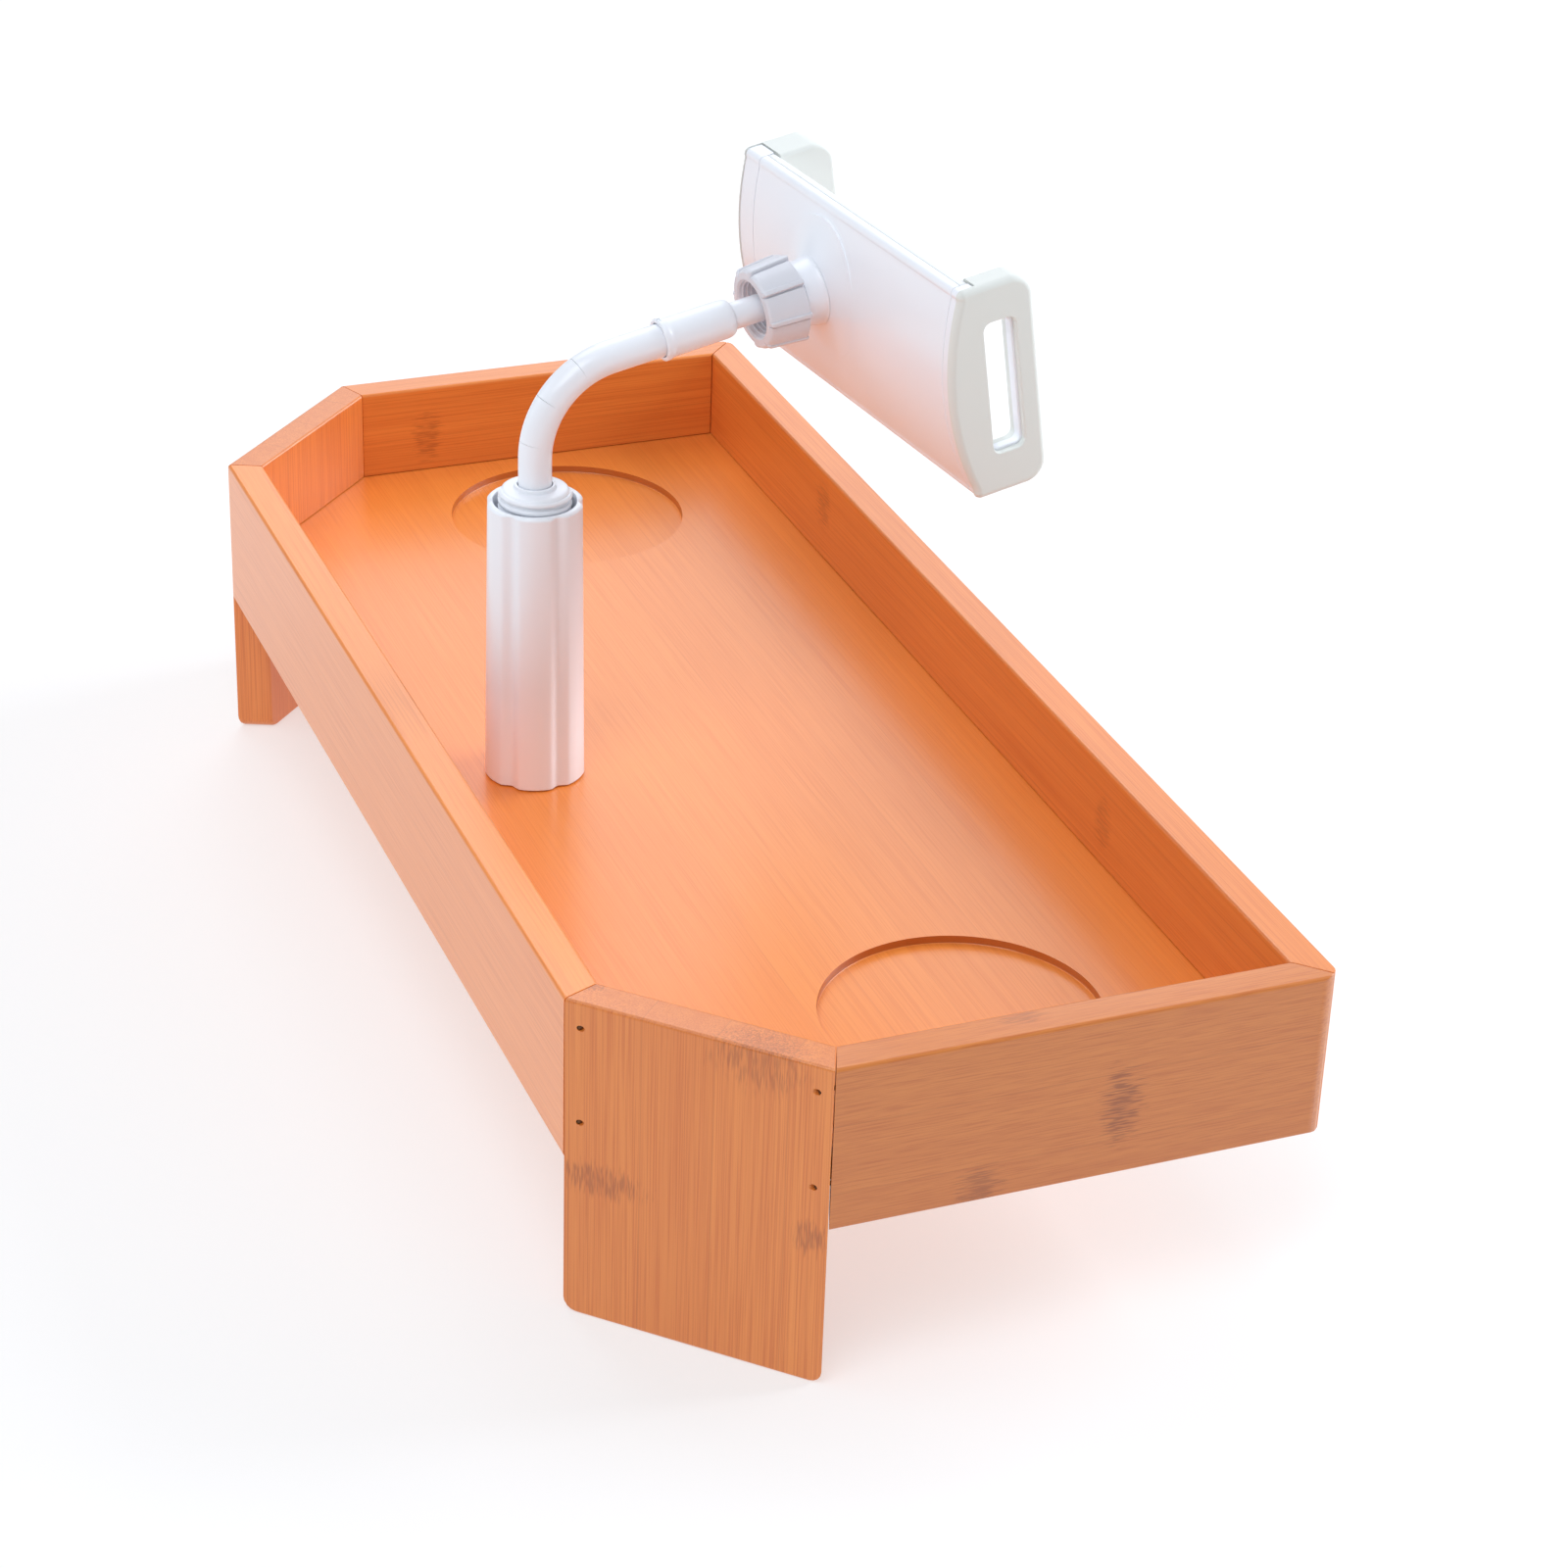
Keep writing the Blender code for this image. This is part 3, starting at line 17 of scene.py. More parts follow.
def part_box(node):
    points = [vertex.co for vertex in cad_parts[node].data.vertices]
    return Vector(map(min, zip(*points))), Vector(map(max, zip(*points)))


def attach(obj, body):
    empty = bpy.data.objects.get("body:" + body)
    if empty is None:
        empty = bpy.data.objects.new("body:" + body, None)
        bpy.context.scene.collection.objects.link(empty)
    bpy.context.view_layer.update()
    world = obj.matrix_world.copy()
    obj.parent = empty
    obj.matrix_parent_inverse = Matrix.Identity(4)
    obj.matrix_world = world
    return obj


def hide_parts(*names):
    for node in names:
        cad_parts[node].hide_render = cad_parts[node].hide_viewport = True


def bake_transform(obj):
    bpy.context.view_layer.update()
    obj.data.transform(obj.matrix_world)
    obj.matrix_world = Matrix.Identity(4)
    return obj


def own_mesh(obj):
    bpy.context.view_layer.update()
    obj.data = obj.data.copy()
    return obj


bl_info = {
    "name": "Bathtub Tray",
    "version": (1, 0, 0),
    "blender": (4, 5, 0),
    "location": "View3D > Sidebar > Tray",
    "description": "Builds a bamboo bathtub tray with a gooseneck tablet holder",
    "category": "Object",
}

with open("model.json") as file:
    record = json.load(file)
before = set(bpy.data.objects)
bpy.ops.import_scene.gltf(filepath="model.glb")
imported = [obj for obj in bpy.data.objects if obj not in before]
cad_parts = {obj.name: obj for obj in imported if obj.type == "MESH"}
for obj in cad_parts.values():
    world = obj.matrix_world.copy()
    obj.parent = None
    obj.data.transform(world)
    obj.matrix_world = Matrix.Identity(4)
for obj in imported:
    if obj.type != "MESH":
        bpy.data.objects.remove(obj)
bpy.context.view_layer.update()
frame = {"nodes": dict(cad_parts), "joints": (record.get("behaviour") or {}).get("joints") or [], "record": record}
JOINTS = {joint["name"]: joint for joint in frame["joints"]}
MOUNTS = {mount["name"]: mount for mount in frame["record"]["mounts"]}


def linear(code):
    """An sRGB hex colour as linear red, green and blue."""
    values = [int(code[i:i + 2], 16) / 255.0 for i in (0, 2, 4)]
    return tuple(v / 12.92 if v <= 0.04045 else ((v + 0.055) / 1.055) ** 2.4 for v in values)


# Places

def placed(origin, x, y, z):
    """A frame from its origin and its three axes."""
    turn = Matrix((x, y, z)).transposed().to_4x4()
    return Matrix.Translation(origin) @ turn


def local_box(node, place):
    """Lowest and highest corners of a CAD node in a frame."""
    inverse = place.inverted()
    points = [inverse @ vertex.co for vertex in frame["nodes"][node].data.vertices]
    low = Vector([min(p[axis] for p in points) for axis in range(3)])
    high = Vector([max(p[axis] for p in points) for axis in range(3)])
    return low, high


def middle_of(node, place):
    """Middle of a CAD node in a frame."""
    low, high = local_box(node, place)
    return (low + high) / 2.0


UP = Vector((0.0, 0.0, 1.0))
STAND_X = -Vector(JOINTS["neck_bend_1"]["axis"])
SWIVEL_AT = Vector(JOINTS["neck_swivel"]["pos_m"])
FLOOR_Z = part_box("floor_panel")[1][2]
STAND = placed(Vector((SWIVEL_AT.x, SWIVEL_AT.y, FLOOR_Z)), STAND_X, UP.cross(STAND_X), UP)

BALL_AT = Vector(JOINTS["ball_tilt"]["pos_m"])
ACROSS = Vector(JOINTS["ball_tilt"]["axis"])
OUT = Vector(JOINTS["clamp_spin"]["axis"])
BALL = placed(BALL_AT, ACROSS, OUT.cross(ACROSS), OUT)

COVER_HIGH = 0.0080
CLAMP = placed(Vector(MOUNTS["tablet_rest"]["pos_m"]) - OUT * COVER_HIGH, ACROSS, OUT, ACROSS.cross(OUT))


# Sizes and colours that a user would change

def colour_setting(name, description, code):
    """A colour setting, from an sRGB hex value."""
    return FloatVectorProperty(name=name, description=description, subtype="COLOR", size=3, min=0.0, max=1.0,
                               default=linear(code))


def length_setting(name, description, least, most, default):
    """A length in metres."""
    return FloatProperty(name=name, description=description, subtype="DISTANCE", min=least, max=most,
                         default=default)


def count_setting(name, description, least, most, default):
    """A whole number."""
    return IntProperty(name=name, description=description, min=least, max=most, default=default)


def light_setting(name, description, most, default):
    """A light's strength, or its power in watts."""
    return FloatProperty(name=name, description=description, min=0.0, max=most, default=default)


class BambooLook(PropertyGroup):
    """Colour and grain of the tray's boards."""
    light: colour_setting("Light fibres", "Colour between the fibres", "eb8c3c")
    dark: colour_setting("Dark fibres", "Colour of the fibre bundles", "ce6823")
    node: colour_setting("Knuckle", "Colour at the cane's knuckles", "8f4014")
    strip: length_setting("Strip width", "Width of one laminated strip", 0.005, 0.06, 0.0235)
    fibre: length_setting("Fibre bundle", "Width of one fibre bundle", 0.0002, 0.004, 0.0005)
    eased: length_setting("Eased edge", "Width of the softened board edges", 0.0001, 0.001, 0.0003)


class HolderLook(PropertyGroup):
    """Colours and fine shapes of the holder."""
    white: colour_setting("White plastic", "Colour of the holder's mouldings", "f4f7fd")
    nut: colour_setting("Nut plastic", "Colour of the nut and socket", "dfe0e7")
    cover: colour_setting("Cover plastic", "Colour of the clamp's front cover", "edeff0")
    rubber: colour_setting("Pad rubber", "Colour of the jaw pads", "e3e6e1")
    tube_sides: count_setting("Tube sides", "Flats round the gooseneck's skin", 12, 96, 48)
    thread_pitch: length_setting("Thread pitch", "Rise of the collar's thread per turn", 0.001, 0.006, 0.003)
    nut_ribs: count_setting("Nut ribs", "Grip ribs round the locking nut", 4, 16, 8)
    spring_turns: count_setting("Spring turns", "Turns of each clamp spring", 6, 30, 16)


class StageLook(PropertyGroup):
    """Light and floor."""
    floor: colour_setting("Floor", "Colour of the floor", "b3b3b3")
    sky: light_setting("Room light", "Strength of the even light", 3.0, 0.35)
    table: light_setting("Table light", "Glow of the lit white floor", 3.0, 0.53)
    key: light_setting("Front light", "Power of the soft lamps in front", 200.0, 21.0)
    back: light_setting("Back light", "Power of the soft lamp behind", 200.0, 46.0)
    side: light_setting("Side light", "Power of the soft lamp at the far end", 200.0, 12.0)
    sheen: light_setting("Sheen light", "Power of the panel that the floor mirrors", 200.0, 10.0)


# Node trees

def add_node(tree, kind, settings=None, inputs=None):
    """Adds a node. Inputs are numbered or named, and each takes a value or another node's socket."""
    node = tree.nodes.new(kind)
    for name, value in (settings or {}).items():
        setattr(node, name, value)
    for key, value in (inputs or {}).items():
        if isinstance(value, bpy.types.NodeSocket):
            tree.links.new(value, node.inputs[key])
        else:
            node.inputs[key].default_value = value
    return node


def new_material(name, roughness, **sockets):
    """A material with its shader's own values set."""
    made = bpy.data.materials.new(name)
    made.use_nodes = True
    shader = made.node_tree.nodes["Principled BSDF"]
    shader.inputs["Roughness"].default_value = roughness
    for socket, value in sockets.items():
        shader.inputs[socket.replace("_", " ")].default_value = value
    return made, made.node_tree, shader


def math_node(tree, operation, a, b=0.0, c=0.0):
    """The result of one calculation on numbers."""
    return add_node(tree, "ShaderNodeMath", {"operation": operation}, {0: a, 1: b, 2: c}).outputs[0]


def mixed(tree, share, a, b):
    """Two colours mixed by a share."""
    return add_node(tree, "ShaderNodeMix", {"data_type": "RGBA"}, {0: share, 6: a, 7: b}).outputs[2]


def noise(tree, vector, scale, detail, roughness=0.5):
    """A soft noise from 0 to 1."""
    inputs = {"Vector": vector, "Scale": scale, "Detail": detail, "Roughness": roughness}
    return add_node(tree, "ShaderNodeTexNoise", None, inputs).outputs["Fac"]


def ramped(tree, value, low, high, to_low=0.0, to_high=1.0):
    """A value eased from one range to another."""
    inputs = {"Value": value, "From Min": low, "From Max": high, "To Min": to_low, "To Max": to_high}
    settings = {"interpolation_type": "SMOOTHSTEP"}
    return add_node(tree, "ShaderNodeMapRange", settings, inputs).outputs[0]


def roughened(tree, shader, pattern, share, least):
    """Makes a surface duller where a pattern is high."""
    tree.links.new(math_node(tree, "MULTIPLY_ADD", pattern, share, least), shader.inputs["Roughness"])


def embossed(tree, shader, pattern, strength, depth):
    """Raises a surface where a pattern is high."""
    inputs = {"Strength": strength, "Distance": depth, "Height": pattern}
    tree.links.new(add_node(tree, "ShaderNodeBump", None, inputs).outputs[0], shader.inputs["Normal"])


# Finishes

END_GRAIN_AND_SHADE = "cut_end"


def bamboo(name, along, across, start=0.0, grain=1.0, gloss=0.3, shade=1.0, dash=0.06, coat=0.7,
           knuckles=()):
    """Laminated bamboo, caramelised by steam, sanded and lacquered: fine fibre streaks in strips about
    23 mm wide, frayed dark knuckles where the cane's joints were, and a satin shine. A knuckle is its
    middle and half size as (along, across, into the board), and its strength."""
    look = bpy.context.scene.bamboo_look
    made, tree, shader = new_material(name, gloss + 0.1, Coat_Weight=coat, Coat_Roughness=gloss)
    along, across = Vector(along).normalized(), Vector(across).normalized()
    spot = add_node(tree, "ShaderNodeTexCoord").outputs["Object"]

    def vector_math(operation, first, second=(0.0, 0.0, 0.0)):
        inputs = {0: first, 1: second}
        return add_node(tree, "ShaderNodeVectorMath", {"operation": operation}, inputs).outputs

    run, wide, deep = (vector_math("DOT_PRODUCT", spot, tuple(way))["Value"]
                       for way in (along, across, along.cross(across)))
    strips = math_node(tree, "DIVIDE", math_node(tree, "ADD", wide, start), look.strip)
    number = math_node(tree, "ADD", math_node(tree, "FLOOR", strips), start * 977.0 + 3.0)
    one_way = {"noise_dimensions": "1D"}
    chance = add_node(tree, "ShaderNodeTexWhiteNoise", one_way, {"W": number}).outputs["Value"]

    def fibres(length, width, detail):
        """Streaks of one length and width, out of step from strip to strip."""
        at = add_node(tree, "ShaderNodeCombineXYZ", None, {
            0: math_node(tree, "MULTIPLY_ADD", run, 1.0 / length, math_node(tree, "MULTIPLY", chance, 7.0)),
            1: math_node(tree, "MULTIPLY", wide, 1.0 / width),
            2: math_node(tree, "MULTIPLY", deep, 1.0 / width)})
        return noise(tree, at.outputs[0], 1.0, detail, 0.6)

    cut_end = add_node(tree, "ShaderNodeAttribute", {"attribute_name": END_GRAIN_AND_SHADE}).outputs["Fac"]
    fine = fibres(dash, look.fibre, 3.0)
    broad = fibres(0.2, look.fibre * 7.0, 2.0)
    flecks = fibres(0.006, look.fibre * 1.4, 1.0)

    # Knuckles, each made of short dashes with a frayed outline
    at = add_node(tree, "ShaderNodeCombineXYZ", None, {0: run, 1: wide, 2: deep}).outputs[0]
    fray = math_node(tree, "MULTIPLY", math_node(tree, "SUBTRACT", flecks, 0.5), 1.6)
    burnt = 0.0
    for middle, half, strength in knuckles:
        off = vector_math("DIVIDE", vector_math("SUBTRACT", at, middle)["Vector"], half)["Vector"]
        reach = math_node(tree, "ADD", vector_math("LENGTH", off)["Value"], fray)
        burnt = math_node(tree, "MAXIMUM", burnt, ramped(tree, reach, 0.35, 1.15, strength, 0.0))
    knuckle = math_node(tree, "MULTIPLY", burnt, ramped(tree, flecks, 0.38, 0.62, 0.9, 0.3))

    # Glue lines between strips, and faces that cut across the fibres, which are darker and show no streaks
    edge = math_node(tree, "ABSOLUTE", math_node(tree, "SUBTRACT", math_node(tree, "FRACT", strips), 0.5))
    line = ramped(tree, edge, 0.488, 0.498, 0.0, 0.22 * grain)

    # A board's shade scales all its colours: on the front rail it is painted sheen, on the right end rail painted
    # shade.
    light, dark, ring = ((*[c * shade for c in tint], 1.0) for tint in (look.light, look.dark, look.node))
    streak = math_node(tree, "MULTIPLY", ramped(tree, fine, 0.42, 0.66, 0.0, 0.75 * grain),
                       math_node(tree, "SUBTRACT", 1.0, cut_end))
    body = mixed(tree, streak, light, dark)
    body = mixed(tree, ramped(tree, broad, 0.35, 0.65, 0.0, 0.25 * grain), body, dark)
    body = mixed(tree, math_node(tree, "MULTIPLY", chance, 0.25 * grain), body, dark)
    body = mixed(tree, line, body, ring)
    body = mixed(tree, knuckle, body, ring)
    # Darker faces across the fibres; at full strength on the floor's upright faces, where it is also painted shade
    # on the cup recesses' walls.
    body = mixed(tree, math_node(tree, "MULTIPLY", cut_end, 0.6), body, ring)
    tree.links.new(body, shader.inputs["Base Color"])
    roughened(tree, shader, fine, 0.16, gloss + 0.02)
    embossed(tree, shader, fine, 0.25, 0.0002)
    return made


def moulded(name, colour, roughness, grain_mm, depth, **sockets):
    """Injection-moulded plastic or rubber: one even colour, with the faint grain of the mould's surface."""
    made, tree, shader = new_material(name, roughness, **sockets)
    shader.inputs["Base Color"].default_value = (*colour, 1.0)
    spot = add_node(tree, "ShaderNodeTexCoord").outputs["Object"]
    roughened(tree, shader, noise(tree, spot, 60.0, 2.0), 0.08, roughness - 0.04)
    embossed(tree, shader, noise(tree, spot, 1000.0 / grain_mm, 2.0), depth, 0.0001)
    return made


def plated(name, code, roughness):
    """Plated or turned metal: a grey or yellow mirror, dulled by fine turning marks."""
    made, tree, shader = new_material(name, roughness, Metallic=1.0)
    shader.inputs["Base Color"].default_value = (*linear(code), 1.0)
    spot = add_node(tree, "ShaderNodeTexCoord").outputs["Object"]
    roughened(tree, shader, noise(tree, spot, 1400.0, 3.0), 0.2, roughness - 0.1)
    return made


def finish_of(name):
    """The finish with that name, made on first use."""
    found = bpy.data.materials.get(name)
    if found:
        return found
    look = bpy.context.scene.holder_look
    makers = {
        # Lightened colours: painted sheen that stands in for the outer face's grazing reflection of the floor.
        "bamboo_front_rail": lambda: bamboo(name, (1, 0, 0), (0, 0, 1), 0.006, 0.6, shade=1.18),
        "bamboo_back_rail": lambda: bamboo(name, (1, 0, 0), (0, 0, 1), 0.014, 0.8, shade=1.04, knuckles=(
            ((-0.126, 0.098, -0.102), (0.007, 0.010, 0.008), 0.5),
            ((0.122, 0.092, -0.102), (0.006, 0.010, 0.008), 0.4))),
        # Darkened colours: painted shade for this end rail, whose outer face gets little light.
        "bamboo_right_end": lambda: bamboo(
            name, (0, 1, 0), (0, 0, 1), 0.0018, 0.8, shade=0.84, dash=0.016, knuckles=(
                ((0.0415, 0.081, 0.2605), (0.0070, 0.0140, 0.004), 0.75),
                ((-0.0035, 0.061, 0.2605), (0.0080, 0.0080, 0.004), 0.55),
                ((0.0105, 0.112, 0.2515), (0.0080, 0.0040, 0.0035), 0.45))),
        "bamboo_left_end": lambda: bamboo(name, (0, 1, 0), (0, 0, 1), 0.003, 0.8, knuckles=(
            ((-0.020, 0.092, -0.248), (0.006, 0.011, 0.006), 0.5),)),
        "bamboo_right_leg": lambda: bamboo(name, (0, 0, 1), (1, 1, 0), 0.0073, knuckles=(
            ((0.051, 0.0735, -0.2206), (0.0060, 0.0150, 0.004), 0.6),
            ((0.052, 0.1415, -0.2206), (0.0060, 0.0060, 0.004), 0.6),
            ((0.108, 0.1240, -0.2185), (0.0110, 0.0150, 0.011), 0.5),
            ((0.112, 0.0660, -0.2110), (0.0040, 0.0050, 0.0025), 0.5))),
        "bamboo_left_leg": lambda: bamboo(name, (0, 0, 1), (-1, 1, 0), 0.009, knuckles=(
            ((0.040, 0.0900, 0.2206), (0.0060, 0.0120, 0.006), 0.6),)),
        "bamboo_floor": lambda: bamboo(name, (1, 0, 0), (0, 1, 0), 0.003, 0.4, 0.24, 1.05, coat=0.5),
        "gloss_abs_white": lambda: moulded(name, look.white, 0.30, 0.8, 0.03, Coat_Weight=0.2,
                                           Coat_Roughness=0.15),
        "satin_abs_grey": lambda: moulded(name, look.nut, 0.36, 0.6, 0.06),
        "satin_abs_cover": lambda: moulded(name, look.cover, 0.45, 0.5, 0.08),
        "moulded_rubber": lambda: moulded(name, look.rubber, 0.62, 0.35, 0.15, Sheen_Weight=0.1),
        "zinc_plated_steel": lambda: plated(name, "b9bcc0", 0.32),
        # Brads' sunk heads: steel darkened to brown, painted shade for the holes they sit in.
        "bronzed_steel": lambda: plated(name, "7a5a42", 0.6),
        "turned_brass": lambda: plated(name, "d8b46a", 0.28),
    }
    return makers[name]()


# Mesh tools

def circle(radius, steps):
    """Points round a circle."""
    turns = [2.0 * math.pi * i / steps for i in range(steps)]
    return [(radius * math.cos(a), radius * math.sin(a)) for a in turns]


def around(section, height):
    """Points at a height, from (angle, radius) round Z."""
    return [(radius * math.cos(a), radius * math.sin(a), height) for a, radius in section]


def quarter(steps):
    """Angles of a quarter turn, both ends included."""
    return [math.radians(90.0 * i / steps) for i in range(steps + 1)]


def lofted(rings, closed=False):
    """A closed solid through rings of points. A ring of one point ends it as a fan. A closed row of rings
    joins its last ring to its first."""
    bm = bmesh.new()
    made = [[bm.verts.new(point) for point in ring] for ring in rings]
    for lower, upper in zip(made, made[1:] + made[:1] if closed else made[1:]):
        count = max(len(lower), len(upper))
        for i in range(count if count > 1 else 0):
            j = (i + 1) % count
            corners = [lower[i % len(lower)], lower[j % len(lower)]]
            corners += [upper[j % len(upper)], upper[i % len(upper)]]
            bm.faces.new(list(dict.fromkeys(corners)))
    for end in () if closed else (made[0], made[-1]):
        if len(end) > 2:
            bm.faces.new(end)
    bmesh.ops.recalc_face_normals(bm, faces=bm.faces)
    return bm


def turned(profile, steps=96):
    """A solid of revolution about Z, from a closed loop of (radius, height)."""
    return lofted([[(x, y, height) for x, y in circle(radius, steps if radius > 1e-9 else 1)]
                   for radius, height in profile], closed=True)


def eased(profile, radius, steps=4):
    """A closed loop of points with each marked corner rounded. A point is (x, y) or (x, y, share)."""
    points = []
    for index, point in enumerate(profile):
        share = point[2] if len(point) > 2 else 0.0
        here = Vector(point[:2])
        before = Vector(profile[index - 1][:2]) - here
        after = Vector(profile[(index + 1) % len(profile)][:2]) - here
        reach = min(radius * share, before.length * 0.45, after.length * 0.45)
        if reach <= 0.0:
            points.append(tuple(here))
            continue
        start, end = here + before.normalized() * reach, here + after.normalized() * reach
        for step in range(steps + 1):
            t = step / steps
            points.append(tuple(start * (1 - t) ** 2 + here * 2 * t * (1 - t) + end * t * t))
    return points


def arc(centre, radius, start_deg, end_deg, steps):
    """Points on an arc, both ends included."""
    angles = [math.radians(start_deg + (end_deg - start_deg) * i / steps) for i in range(steps + 1)]
    return [(centre[0] + radius * math.cos(a), centre[1] + radius * math.sin(a)) for a in angles]


def grown(outline, amount):
    """A closed outline with every point moved outwards."""
    points = [Vector(p) for p in outline]
    area = sum(a.x * b.y - b.x * a.y for a, b in zip(points, points[1:] + points[:1]))
    side = math.copysign(1.0, area)
    moved = []
    for index, point in enumerate(points):
        before = (point - points[index - 1]).normalized()
        after = (points[(index + 1) % len(points)] - point).normalized()
        bisector = Vector((before.y + after.y, -before.x - after.x)).normalized() * side
        cosine = max(0.5, bisector.dot(Vector((after.y, -after.x)) * side))
        moved.append(point + bisector * amount / cosine)
    return moved


def bar_along_x(outline, low, high, round_low=0.0, round_high=0.0, steps=5):
    """An outline in Y and Z drawn along X, with its two rims rounded, or flared where the radius is below
    zero."""
    stations = []
    for end, radius, sign in ((low, round_low, 1.0), (high, round_high, -1.0)):
        stations.append([(end + sign * abs(radius) * (1.0 - math.cos(a)), -radius * (1.0 - math.sin(a)))
                         for a in (quarter(steps) if radius else [0.0])])
    order = stations[0] + list(reversed(stations[1]))
    return lofted([[(x, p[0], p[1]) for p in grown(outline, amount)] for x, amount in order])


def rod(radius, low, high, steps=32):
    """A plain cylinder about Z."""
    return turned([(0.0, low), (radius, low), (radius, high), (0.0, high)], steps)


def moved(bm, place):
    """A shape moved to a frame."""
    bm.transform(place)
    return bm


def block(*lengths):
    """A box round the origin, from its length along each axis."""
    bm = bmesh.new()
    bmesh.ops.create_cube(bm, size=1.0)
    return moved(bm, Matrix.Diagonal((*lengths, 1.0)))


def along_x(y, z):
    """A frame whose Z runs along X."""
    return Matrix.Translation((0.0, y, z)) @ Matrix.Rotation(math.pi / 2.0, 4, "Y")


def along_y(x, z):
    """A frame whose Z runs along Y."""
    return Matrix.Translation((x, 0.0, z)) @ Matrix.Rotation(-math.pi / 2.0, 4, "X")


def linked(name, data):
    """A new object in the scene."""
    made = bpy.data.objects.new(name, data)
    bpy.context.scene.collection.objects.link(made)
    return made


def dropped(made):
    """Removes an object that has served its purpose, with its mesh."""
    mesh = made.data
    bpy.data.objects.remove(made)
    bpy.data.meshes.remove(mesh)


def new_piece(name, bm, finish):
    """A named object from a finished shape."""
    mesh = bpy.data.meshes.new(name)
    bm.to_mesh(mesh)
    bm.free()
    mesh.materials.append(finish_of(finish))
    return linked(name, mesh)


def applied(made):
    """Turns a piece's modifiers into its mesh."""
    bpy.context.view_layer.update()
    result = bpy.data.meshes.new_from_object(made.evaluated_get(bpy.context.evaluated_depsgraph_get()))
    made.modifiers.clear()
    old, made.data = made.data, result
    result.name = made.name
    bpy.data.meshes.remove(old)
    return made


def combined(made, bm, operation):
    """Cuts a shape from a piece, or joins it on."""
    tool = new_piece("tool", bm, "gloss_abs_white")
    modifier = made.modifiers.new(operation.lower(), "BOOLEAN")
    modifier.operation, modifier.solver, modifier.object = operation, "EXACT", tool
    applied(made)
    dropped(tool)
    for polygon in made.data.polygons:
        polygon.material_index = 0
    while len(made.data.materials) > 1:
        made.data.materials.pop()


def cut(made, bm):
    """Cuts a shape from a piece."""
    combined(made, bm, "DIFFERENCE")


def bored(made, radius, low, high, place, steps=32):
    """Cuts a round hole along the Z of a frame."""
    cut(made, moved(rod(radius, low, high, steps), place))


def softened(made, width):
    """Rounds a piece's sharp edges a little, so that they catch the light."""
    modifier = made.modifiers.new("soft edges", "BEVEL")
    modifier.width, modifier.segments = width, 2
    modifier.limit_method, modifier.angle_limit = "ANGLE", math.radians(40.0)
    modifier.use_clamp_overlap = True
    return applied(made)


def smoothed(made, sharp_deg=38.0):
    """Shades a piece smooth, apart from its sharp edges."""
    made.data.shade_smooth()
    made.data.set_sharp_from_angle(angle=math.radians(sharp_deg))


def dress(made, body, slot, *nodes, sharp_deg=38.0, place=None):
    """Shades a finished piece so that its broad faces stay flat, gives it its place and body, and lets it
    stand for CAD nodes."""
    if place is not None:
        made.data.transform(place)
    smoothed(made, sharp_deg)
    modifier = made.modifiers.new("flat faces", "WEIGHTED_NORMAL")
    modifier.keep_sharp, modifier.weight = True, 80
    applied(made)
    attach(made, body)
    if nodes:
        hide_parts(*nodes)


def copy_of(node, finish):
    """A copy of a CAD node with its triangles joined into whole faces."""
    bm = bmesh.new()
    bm.from_mesh(frame["nodes"][node].data)
    bmesh.ops.remove_doubles(bm, verts=bm.verts, dist=1e-6)
    bmesh.ops.dissolve_limit(bm, angle_limit=math.radians(0.3), verts=bm.verts, edges=bm.edges)
    return new_piece(f"{node}_dressed", bm, finish)


def repaint(node, finish):
    """Gives a CAD node a better finish and leaves its shape."""
    data = frame["nodes"][node].data
    data.materials.clear()
    data.materials.append(finish_of(finish))


# Geometry node trees for what repeats or follows a path

def new_shape_tree(name, inputs):
    """An empty tree with named inputs. Each input is (name, socket type, default or None)."""
    tree = bpy.data.node_groups.new(name, "GeometryNodeTree")
    tree.interface.new_socket("Geometry", in_out="INPUT", socket_type="NodeSocketGeometry")
    for label, kind, default in inputs:
        socket = tree.interface.new_socket(label, in_out="INPUT", socket_type=kind)
        if default is not None:
            socket.default_value = default
    tree.interface.new_socket("Geometry", in_out="OUTPUT", socket_type="NodeSocketGeometry")
    return tree, add_node(tree, "NodeGroupInput").outputs


def end_tree(tree, geometry, material):
    """Realizes instances, sets the finish and ends the tree."""
    real = add_node(tree, "GeometryNodeRealizeInstances", None, {0: geometry}).outputs[0]
    painted = add_node(tree, "GeometryNodeSetMaterial", None, {"Geometry": real, "Material": material})
    add_node(tree, "NodeGroupOutput", None, {0: painted.outputs[0]})


def drawn_round(tree, line, sides, radius, material):
    """Draws a round section along a line and ends the tree."""
    section = add_node(tree, "GeometryNodeCurvePrimitiveCircle", None,
                       {"Resolution": sides, "Radius": radius}).outputs[0]
    tube = add_node(tree, "GeometryNodeCurveToMesh", None,
                    {"Curve": line, "Profile Curve": section, "Fill Caps": True}).outputs[0]
    end_tree(tree, tube, material)
    return tree


def copied(tree, given, points, **turns):
    """Puts the given piece on each point and ends the tree."""
    source = add_node(tree, "GeometryNodeObjectInfo", None, {"Object": given["Piece"]}).outputs["Geometry"]
    copies = add_node(tree, "GeometryNodeInstanceOnPoints", None,
                      {"Points": points, "Instance": source, **turns}).outputs[0]
    end_tree(tree, copies, given["Finish"])
    return tree


def tube_tree():
    """Tube along a line: a round section drawn along the object's own edges."""
    tree, given = new_shape_tree("tube along a line", [
        ("Radius", "NodeSocketFloat", 0.005), ("Sides", "NodeSocketInt", 32),
        ("Finish", "NodeSocketMaterial", None)])
    line = add_node(tree, "GeometryNodeMeshToCurve", None, {0: given["Geometry"]}).outputs[0]
    return drawn_round(tree, line, given["Sides"], given["Radius"], given["Finish"])


